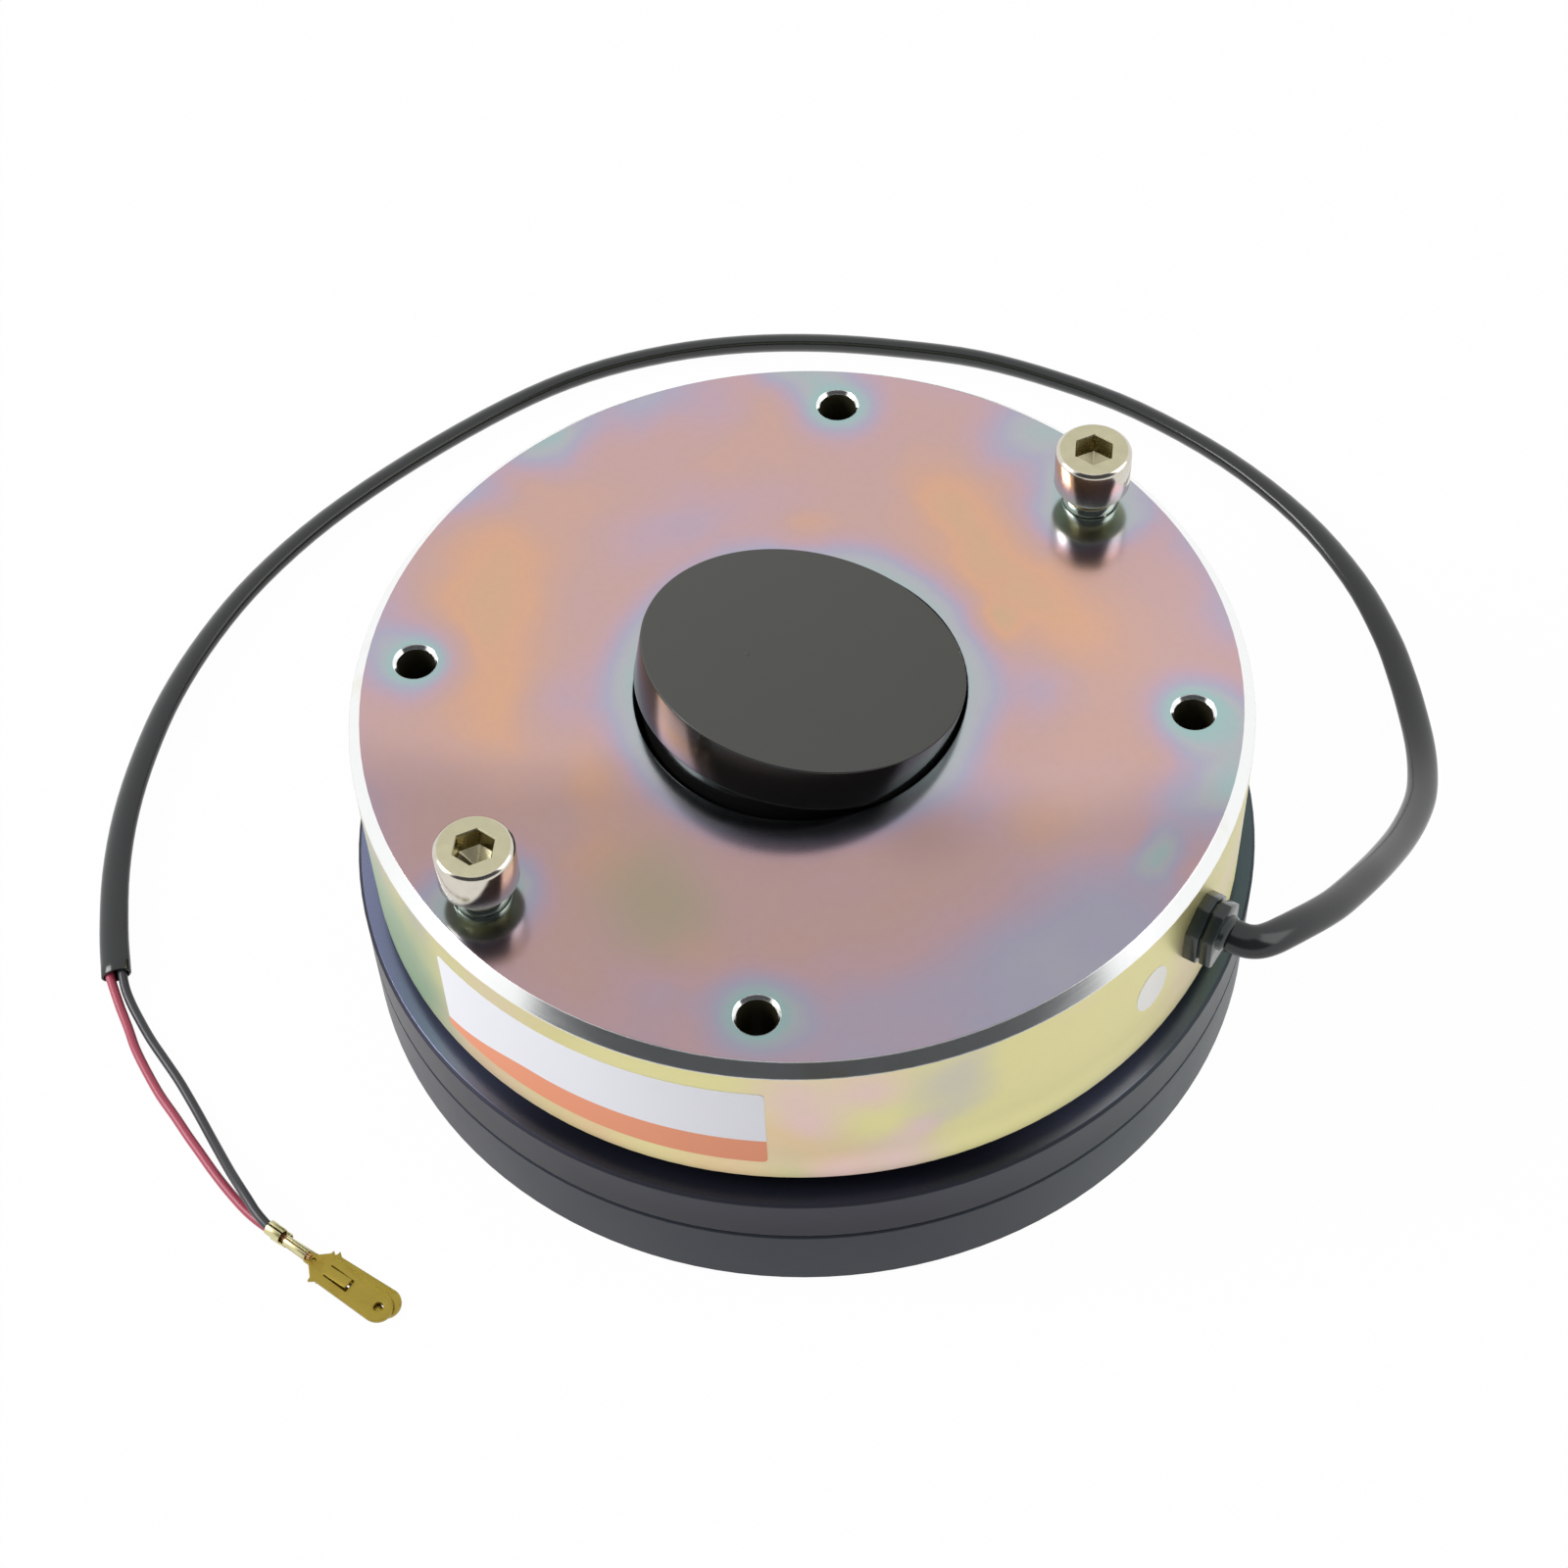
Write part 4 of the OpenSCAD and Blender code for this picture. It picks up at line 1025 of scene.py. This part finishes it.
class BRAKE_OT_stage(bpy.types.Operator):
    """Camera, floor, room and soft lights"""
    bl_idname = "brake.stage"
    bl_label = "Stage"

    def execute(self, context):
        scene = context.scene
        settings = scene.brake_stage
        lens = bpy.data.cameras.new("camera")
        lens.lens = settings.lens
        lens.sensor_width = 36
        lens.clip_start = 0.01
        camera = bpy.data.objects.new("camera", lens)
        camera.matrix_world = Matrix.Translation(settings.camera_place) @ CAMERA_TURN.to_4x4()
        scene.collection.objects.link(camera)
        scene.camera = camera
        scene.view_settings.view_transform = "Standard"

        bm = bmesh.new()
        bmesh.ops.create_circle(bm, cap_ends=True, segments=96, radius=FLOOR_RADIUS)
        floor = mesh_object("floor", bm, [self.floor_finish(color_of(settings.floor_color))])
        for name, side, place in LAMPS:
            self.lamp(scene, name, getattr(settings, name + "_power"), side, place)
        self.curtain()
        self.room(scene, settings.ambient)
        return {"FINISHED"}

    def room(self, scene, ambient):
        """An even white room that the camera sees as white."""
        world = bpy.data.worlds.new("room")
        world.use_nodes = True
        scene.world = world
        room = Finish("room", world)
        seen = self.seen(room)
        soft = room.node("ShaderNodeBackground", {}, {"Color": (1, 1, 1), "Strength": ambient})
        white = room.node("ShaderNodeBackground", {}, {"Color": (1, 1, 1), "Strength": 1.0})
        mixed = room.node("ShaderNodeMixShader", {}, {0: seen, 1: soft, 2: white})
        room.node("ShaderNodeOutputWorld", {}, {"Surface": mixed})

    def seen(self, finish):
        """1 for what the camera sees, straight or in gloss or glass."""
        rays = [
            finish.node("ShaderNodeLightPath", {}, {}, name)
            for name in ("Is Camera Ray", "Is Glossy Ray", "Is Transmission Ray")
        ]
        return (rays[0] + rays[1] + rays[2]).clamped()

    def floor_finish(self, color):
        """White paper that keeps the shadow."""
        finish = Finish("floor_paper")
        grain = finish.noise(finish.place(), 400.0, 3.0, 0.6)
        tint = finish.shaded(color, 0.98 + grain * 0.03)
        paper = finish.node("ShaderNodeBsdfDiffuse", {}, {"Color": tint})
        glow = finish.node("ShaderNodeEmission", {}, {"Color": (1, 1, 1), "Strength": 1.0})
        mixed = finish.node("ShaderNodeMixShader", {}, {0: self.seen(finish) * 0.98, 1: paper, 2: glow})
        finish.node("ShaderNodeOutputMaterial", {}, {"Surface": mixed})
        return finish.owner

    def curtain(self):
        """A dark cloth round the camera's side; it only shows as a reflection and thins out at its ends."""
        reach, low, high = 0.8, 0.3, 1.9
        start, end, fade = radians(-146), radians(-16), radians(8)
        hem = 0.12
        bm = bmesh.new()
        line = outline(bm, [(reach, low), (reach, high)], closed=False)
        bmesh.ops.spin(
            bm, geom=line, cent=(0, 0, 0), axis=(0, 0, 1), dvec=(0, 0, 0), angle=end - start, steps=60,
            use_merge=False, use_duplicate=False,
        )
        bmesh.ops.rotate(bm, cent=(0, 0, 0), matrix=Matrix.Rotation(start, 3, "Z"), verts=bm.verts)
        finish = Finish("curtain_cloth")
        place = finish.place()
        east, north, height = finish.parts(place)
        turn = north.math("ARCTAN2", north, east)
        share = turn.smooth(start, start + fade) * turn.smooth(end, end - fade)
        share = share * height.smooth(low, low + hem)
        cloth = finish.shaded(srgb(72, 74, 77), 0.9 + finish.noise(place, 900.0) * 0.2)
        material = finish.surface(Base_Color=cloth, Roughness=0.9, Alpha=share)
        curtain = mesh_object("curtain", bm, [material])
        curtain.visible_camera = False
        curtain.visible_diffuse = False
        curtain.visible_shadow = False

    def lamp(self, scene, name, power, side, place):
        """A square soft light that faces the brake."""
        light = bpy.data.lights.new(name, "AREA")
        light.energy = power
        light.size = side
        lamp = bpy.data.objects.new(name, light)
        aim = (LAMP_AIM - Vector(place)).to_track_quat("-Z", "Y")
        lamp.matrix_world = Matrix.Translation(place) @ aim.to_matrix().to_4x4()
        scene.collection.objects.link(lamp)


class BRAKE_OT_cable(bpy.types.Operator):
    """Flat sheath, two wires and their blade terminals"""
    bl_idname = "brake.cable"
    bl_label = "Cable"

    def execute(self, context):
        settings = context.scene.brake_cable
        terminals = context.scene.brake_terminals
        route = smooth_route([(x * MM, y * MM, z * MM, radians(tilt)) for x, y, z, tilt in SHEATH_ROUTE], 4)
        path = [Vector(p[:3]) for p in route]
        tilts = [p[3] for p in route]
        hollow_end = ((0.96, -0.12 * MM), (0.86, -0.16 * MM), (0.8, 1.8 * MM))
        bm = cord_mesh(path, tilts, settings.width, settings.thickness, 28, hollow_end)
        jacket = wire_finish("sheath_pvc", color_of(settings.sheath), 0.17)
        sheath = piece("sheath", bm, [jacket], "housing", ("cable_sheath",), sharp=40)
        route_length(path)
        finishes = [
            brass_finish("brass", color_of(terminals.brass)),
            plated_finish("tinned_copper", srgb(196, 150, 110), 0.3),
            brass_finish("rubbed_brass", srgb(214, 207, 160)),
        ]
        red_place = Vector((*RED_ROUTE[-1][:2], 0)) * MM
        black_place = Vector((*BLACK_ROUTE[-1][:2], UPPER_FLOOR)) * MM
        lower = terminal_piece("terminal_red", red_place, LOWER_SWING, 0.0, "red_wire_terminal", finishes)
        upper = terminal_piece(
            "terminal_black", black_place, 0.0, TERMINAL_NOSE, "black_wire_terminal", finishes)
        wire_piece("wire_red", RED_ROUTE, 0.0, color_of(settings.red), "red_wire")
        wire_piece("wire_black", BLACK_ROUTE, TERMINAL_NOSE, color_of(settings.black), "black_wire")
        return {"FINISHED"}


class BRAKE_OT_release_screws(bpy.types.Operator):
    """Two socket head screws with rolled threads, over split lock washers"""
    bl_idname = "brake.release_screws"
    bl_label = "Release screws"

    def execute(self, context):
        settings = context.scene.brake_screws
        plating = plated_finish("nickel", color_of(settings.plating), 0.13, 0.16, color_of(settings.face))
        inner = plated_finish("socket_steel", srgb(176, 168, 138), 0.24)
        sides = (("screw_right", SCREW_TURN, "right_screw", "release_screw_right"),
                 ("screw_left", SCREW_TURN + pi, "left_screw", "release_screw_left"))
        washers = bmesh.new()
        for name, turn, body, node in sides:
            bm = self.screw(settings)
            for face in bm.faces:
                centre = face.calc_center_median()
                if centre.xy.length < settings.flats * 0.6 and centre.z > SCREW_HIGH.z - 0.75 * HEAD_HEIGHT:
                    face.material_index = 1
            self.put(bm, turn)
            piece(name, bm, [plating, inner], body, (node,), sharp=28)
            washer = self.washer()
            self.put(washer, turn)
            append(washers, washer)
        piece("split_washers", washers, [plating], "housing", ("lock_washers",))
        return {"FINISHED"}

    def put(self, bm, turn):
        place = Matrix.Rotation(turn, 4, "Z") @ Matrix.Translation((SCREW_RADIUS, 0, 0))
        bmesh.ops.transform(bm, matrix=place, verts=bm.verts)

    def screw(self, settings):
        """Head with a hexagon socket, then the shank and its thread."""
        bm = bmesh.new()
        top = SCREW_HIGH.z
        seat = top - HEAD_HEIGHT
        end = SCREW_LOW.z
        head, shank = settings.head / 2, settings.shank / 2
        root = shank - 0.6134 * settings.pitch
        corner = radians(-15)
        socket, mouth = hexagon_of(settings.flats, corner), hexagon_of(settings.flats + 0.3 * MM, corner)
        bottom = Matrix.Translation((0, 0, top - SOCKET_DEPTH))
        floor = bmesh.ops.create_circle(bm, cap_ends=True, segments=72, radius=0.25 * MM, matrix=bottom)
        ring = list({e for v in floor["verts"] for e in v.link_edges})
        steps = (
            (top - SOCKET_WALL, socket),
            (top - 0.18 * MM, socket),
            (top, mouth),
            (top, circle_of(head - 0.75 * MM)),
            (top - 0.06 * MM, circle_of(head - 0.6 * MM)),
            (top - 0.55 * MM, circle_of(head - 0.1 * MM)),
            (top - 0.8 * MM, circle_of(head)),
            (seat + 0.45 * MM, circle_of(head)),
            (seat + 0.12 * MM, circle_of(head - 0.1 * MM)),
            (seat, circle_of(head - 0.4 * MM)),
            (seat, circle_of(shank + 0.35 * MM)),
            (seat - 0.3 * MM, circle_of(root)),
            (end + 1.0 * MM, circle_of(root)),
            (end + 0.1 * MM, circle_of(root - 0.75 * MM)),
            (end, circle_of(root - 0.9 * MM)),
        )
        for height, radius_at in steps:
            ring = next_ring(bm, ring, height, radius_at)
        bmesh.ops.contextual_create(bm, geom=ring)
        tidy(bm)
        append(bm, self.thread(root, shank, settings.pitch, end + 0.9 * MM, seat - 0.5 * MM))
        return bm

    def thread(self, root, crest, pitch, low, high):
        """One ridge that climbs round the shank."""
        steps = 28
        inside, outside = root - 0.05 * MM, crest - 0.02 * MM
        section = ((inside, -0.42), (outside, -0.06), (outside, 0.06), (inside, 0.42))
        count = int(((high - low) / pitch - 0.7) * steps)
        bm = bmesh.new()
        points = [(r, low + (0.42 + z) * pitch) for r, z in section]
        sweep(bm, points, tau * count / steps, count, rise=pitch / steps)
        tidy(bm)
        return bm

    def washer(self):
        """A ring of spring steel that climbs a little from one cut end to the other."""
        bm = bmesh.new()
        inner, outer, thick, climb = 4.1 * MM, 4.8 * MM, 1.9 * MM, 0.28 * MM
        steps = 60
        points = ((inner, 0), (outer, 0), (outer, thick), (inner, thick))
        sweep(bm, points, radians(352), steps, rise=climb / steps)
        for vert in bm.verts:
            slant = (vert.co.z - thick / 2) / outer * 0.6
            vert.co = Matrix.Rotation(slant + radians(4), 3, "Z") @ vert.co
        tidy(bm)
        soften(bm, 0.14 * MM, 2, 50)
        bmesh.ops.translate(bm, verts=bm.verts, vec=(0, 0, TOP_Z + 0.01 * MM))
        return bm


class BRAKE_OT_centre_cap(bpy.types.Operator):
    """Plastic cap that sits at an angle in the bore"""
    bl_idname = "brake.centre_cap"
    bl_label = "Centre cap"

    def execute(self, context):
        settings = context.scene.brake_cap
        rim, skirt, radius = settings.rim, settings.skirt, settings.radius
        lean, wall = settings.lean, BORE_RADIUS - RUNNING_GAP
        shift = wall - radius * cos(lean) + (settings.lift + BORE_EDGE) * math.tan(lean)
        height = TOP_Z + settings.lift + radius * sin(lean)
        depth = (wall + shift - skirt * cos(lean)) / sin(lean)
        bm = bmesh.new()
        lathe(bm, [
            (0, 0), (radius, 0), (radius, -rim), (skirt, -rim), (skirt, -depth), (skirt - 3 * MM, -depth),
            (skirt - 3 * MM, -rim), (0, -rim),
        ], 144, closed=False)
        soften(bm, 0.35 * MM, 3, 40)
        nub = bmesh.new()
        lathe(nub, [
            (0, 0.0), (0.5 * MM, 0.0), (0.42 * MM, 0.07 * MM), (0.2 * MM, 0.11 * MM), (0, 0.1 * MM),
        ], 16)
        bmesh.ops.translate(nub, verts=nub.verts, vec=(-8.3 * MM, 5.0 * MM, -0.01 * MM))
        append(bm, nub)
        place = (Matrix.Rotation(CAP_TURN, 4, "Z") @ Matrix.Translation((shift, 0, height))
                 @ Matrix.Rotation(lean, 4, "Y"))
        bmesh.ops.transform(bm, matrix=place, verts=bm.verts)
        plastic = cap_finish(color_of(settings.plastic))
        piece("cap", bm, [plastic], "housing", ("centre_cap",))
        return {"FINISHED"}


class BRAKE_OT_strain_relief(bpy.types.Operator):
    """Moulded strain relief in the wall, two plates with a slit between them"""
    bl_idname = "brake.strain_relief"
    bl_label = "Strain relief"

    def execute(self, context):
        nylon = moulded_finish("relief_nylon", srgb(43, 51, 51), 0.22, 2600.0)
        whole = bmesh.new()
        wall = BODY_RADIUS
        slabs = ((wall - 0.3 * MM, wall + 2.2 * MM, 0.0), (wall + 2.0 * MM, wall + 2.8 * MM, 0.7 * MM),
                 (wall + 2.6 * MM, ENTRY_FACE, 0.2 * MM))
        for back, front, less in slabs:
            append(whole, self.slab(back, front, less))
        collar = bmesh.new()
        lathe(collar, [
            (3.1 * MM, 0), (4.0 * MM, 0), (3.75 * MM, 0.9 * MM), (3.2 * MM, 1.3 * MM), (2.95 * MM, 1.0 * MM),
            (2.9 * MM, 0.0),
        ], 40)
        squeeze = Matrix.Diagonal((1, 0.7, 1, 1))
        outwards = Matrix.Rotation(pi / 2, 4, "Y") @ Matrix.Rotation(pi / 2, 4, "Z")
        tilt = Matrix.Rotation(radians(-25), 4, "X") @ outwards
        bmesh.ops.transform(collar, matrix=tilt @ squeeze, verts=collar.verts)
        bmesh.ops.translate(collar, verts=collar.verts, vec=(ENTRY_FACE - 0.1 * MM, 0, 0))
        append(whole, collar)
        place = Matrix.Rotation(ENTRY_TURN, 4, "Z") @ Matrix.Translation((0, 0, ENTRY_Z))
        bmesh.ops.transform(whole, matrix=place, verts=whole.verts)
        piece("entry_relief", whole, [nylon], "housing", ("strain_relief",))
        return {"FINISHED"}

    def slab(self, back, front, less):
        """A block with clipped corners, along X."""
        w, h = 5 * MM - less, 5.5 * MM - less
        foot, corner = 1.0 * MM, 3.4 * MM
        bm = bmesh.new()
        plate(bm, [[
            (-w + foot, -h), (w - foot, -h), (w, -h + foot), (w, h - corner),
            (w - corner, h), (-w + corner, h), (-w, h - corner), (-w, -h + foot),
        ]], front - back)
        soften(bm, 0.22 * MM, 2, 30)
        turn = Matrix(((0, 0, 1, back), (1, 0, 0, 0), (0, 1, 0, 0), (0, 0, 0, 1)))
        bmesh.ops.transform(bm, matrix=turn, verts=bm.verts)
        return bm


class BRAKE_OT_labels(bpy.types.Operator):
    """Bare rating label and round sticker on the side of the magnet body"""
    bl_idname = "brake.labels"
    bl_label = "Labels"

    def execute(self, context):
        settings = context.scene.brake_label
        film = label_finish(settings)
        wide = (settings.end - settings.start) * BODY_RADIUS
        high = settings.high - settings.low
        bm = bmesh.new()
        bmesh.ops.create_grid(bm, x_segments=72, y_segments=24, size=0.5)
        for vert in bm.verts:
            along, up = (vert.co.x + 0.5) * wide, (vert.co.y + 0.5) * high
            vert.co = self.rounded_corner(along, up, wide, high, 0.8 * MM)
        self.wrap(bm, settings.start, settings.low, 0.1 * MM)
        piece("rating_label", bm, [film], "housing")

        sticker = bmesh.new()
        bmesh.ops.create_circle(sticker, cap_ends=True, segments=64, radius=1.0)
        half_width, half_height = 3.75 * MM, 5.0 * MM
        bmesh.ops.scale(sticker, vec=(half_width, half_height, 1), verts=sticker.verts)
        turn, height = radians(-36.2), 44.0 * MM
        self.wrap(sticker, turn, height, 0.08 * MM)
        paper = moulded_finish("sticker_paper", srgb(252, 251, 247), 0.5, 1500.0, 0.00001)
        piece("round_sticker", sticker, [paper], "housing")
        return {"FINISHED"}

    def rounded_corner(self, along, up, wide, high, corner):
        """Pulls the points of a sheet's corners onto a small arc."""
        cx = min(max(along, corner), wide - corner)
        cy = min(max(up, corner), high - corner)
        gap = Vector((along - cx, up - cy, 0))
        if gap.length > corner:
            gap *= corner / gap.length
        return Vector((cx, cy, 0)) + gap

    def wrap(self, bm, start, low, thickness):
        """Gives a flat sheet its thickness and lays it round the wall."""
        thicken(bm, list(bm.faces), thickness)
        tidy(bm, 1e-8)
        for vert in bm.verts:
            turn = start + vert.co.x / BODY_RADIUS
            radius = BODY_RADIUS - 0.02 * MM + vert.co.z
            vert.co = (radius * cos(turn), radius * sin(turn), low + vert.co.y)
        bmesh.ops.recalc_face_normals(bm, faces=bm.faces)


class BRAKE_OT_finishes(bpy.types.Operator):
    """Finishes of the pieces that are shown as the CAD frame has them"""
    bl_idname = "brake.finishes"
    bl_label = "Finishes"

    def execute(self, context):
        plate_colors = context.scene.brake_plate
        steel = context.scene.brake_steel
        flange, armature = color_of(steel.flange), color_of(steel.armature)
        ledge, hub = color_of(steel.ledge), color_of(steel.hub)
        rubber = moulded_finish("ring_rubber", srgb(36, 36, 38), 0.55, 2400.0)
        machined = plated_finish("machined_steel", hub, 0.24, brushed=0.1)
        finishes = {
            "magnet_body": zinc_finish(plate_colors),
            "friction_flange": dark_steel_finish("flange_iron", "friction_flange", flange, flange, 0.3),
            "armature_plate": dark_steel_finish(
                "armature_steel", "armature_plate", armature, ledge, 0.26, 0.4),
            "coil_bobbin": moulded_finish("bobbin_nylon", srgb(224, 214, 188), 0.42, 1800.0),
            "coil_winding": winding_finish(),
            "potting_resin": resin_finish(),
            "brake_springs": plated_finish("spring_steel", srgb(150, 152, 156), 0.28),
            "spacer_sleeves": plated_finish("sleeve_steel", srgb(206, 200, 170), 0.22),
            "assembly_screws": plated_finish("black_oxide", srgb(66, 66, 70), 0.36),
            "disc_carrier": plated_finish("carrier_alloy", srgb(198, 200, 203), 0.3, brushed=0.1),
            "lining_upper": lining_finish(),
            "rotor_hub": machined,
            "hub_ring": rubber,
        }
        finishes["lining_lower"] = finishes["lining_upper"]
        for node, material in finishes.items():
            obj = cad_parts[node]
            for slot in obj.material_slots:
                slot.material = material
        return {"FINISHED"}


class BRAKE_PT_panel(bpy.types.Panel):
    """Settings and build steps of the parking brake"""
    bl_idname = "BRAKE_PT_panel"
    bl_label = "Parking brake"
    bl_space_type = "VIEW_3D"
    bl_region_type = "UI"
    bl_category = "Brake"

    def draw(self, context):
        for operator, holder in STEPS:
            box = self.layout.box()
            for name in holder:
                settings = getattr(context.scene, name)
                for key in settings.__annotations__:
                    box.prop(settings, key)
            box.operator(operator.bl_idname)


HOLDERS = {
    "brake_stage": StageSettings,
    "brake_plate": PlateSettings,
    "brake_steel": SteelSettings,
    "brake_cable": CableSettings,
    "brake_terminals": TerminalSettings,
    "brake_screws": ScrewSettings,
    "brake_cap": CapSettings,
    "brake_label": LabelSettings,
}
STEPS = (
    (BRAKE_OT_stage, ("brake_stage",)),
    (BRAKE_OT_cable, ("brake_cable", "brake_terminals")),
    (BRAKE_OT_release_screws, ("brake_screws",)),
    (BRAKE_OT_centre_cap, ("brake_cap",)),
    (BRAKE_OT_strain_relief, ()),
    (BRAKE_OT_labels, ("brake_label",)),
    (BRAKE_OT_finishes, ("brake_plate", "brake_steel")),
)
CLASSES = (*HOLDERS.values(), *(operator for operator, _ in STEPS), BRAKE_PT_panel)


def register():
    for cls in CLASSES:
        bpy.utils.register_class(cls)
    for name, group in HOLDERS.items():
        setattr(bpy.types.Scene, name, PointerProperty(type=group))


def unregister():
    for name in HOLDERS:
        delattr(bpy.types.Scene, name)
    for cls in reversed(CLASSES):
        bpy.utils.unregister_class(cls)


def main():
    """Runs the build steps in order."""
    register()
    for operator, _ in STEPS:
        step = getattr(bpy.ops.brake, operator.bl_idname.split(".")[1])
        if step() != {"FINISHED"}:
            raise RuntimeError(operator.bl_label + " didn't finish")


if __name__ == "__main__":
    main()
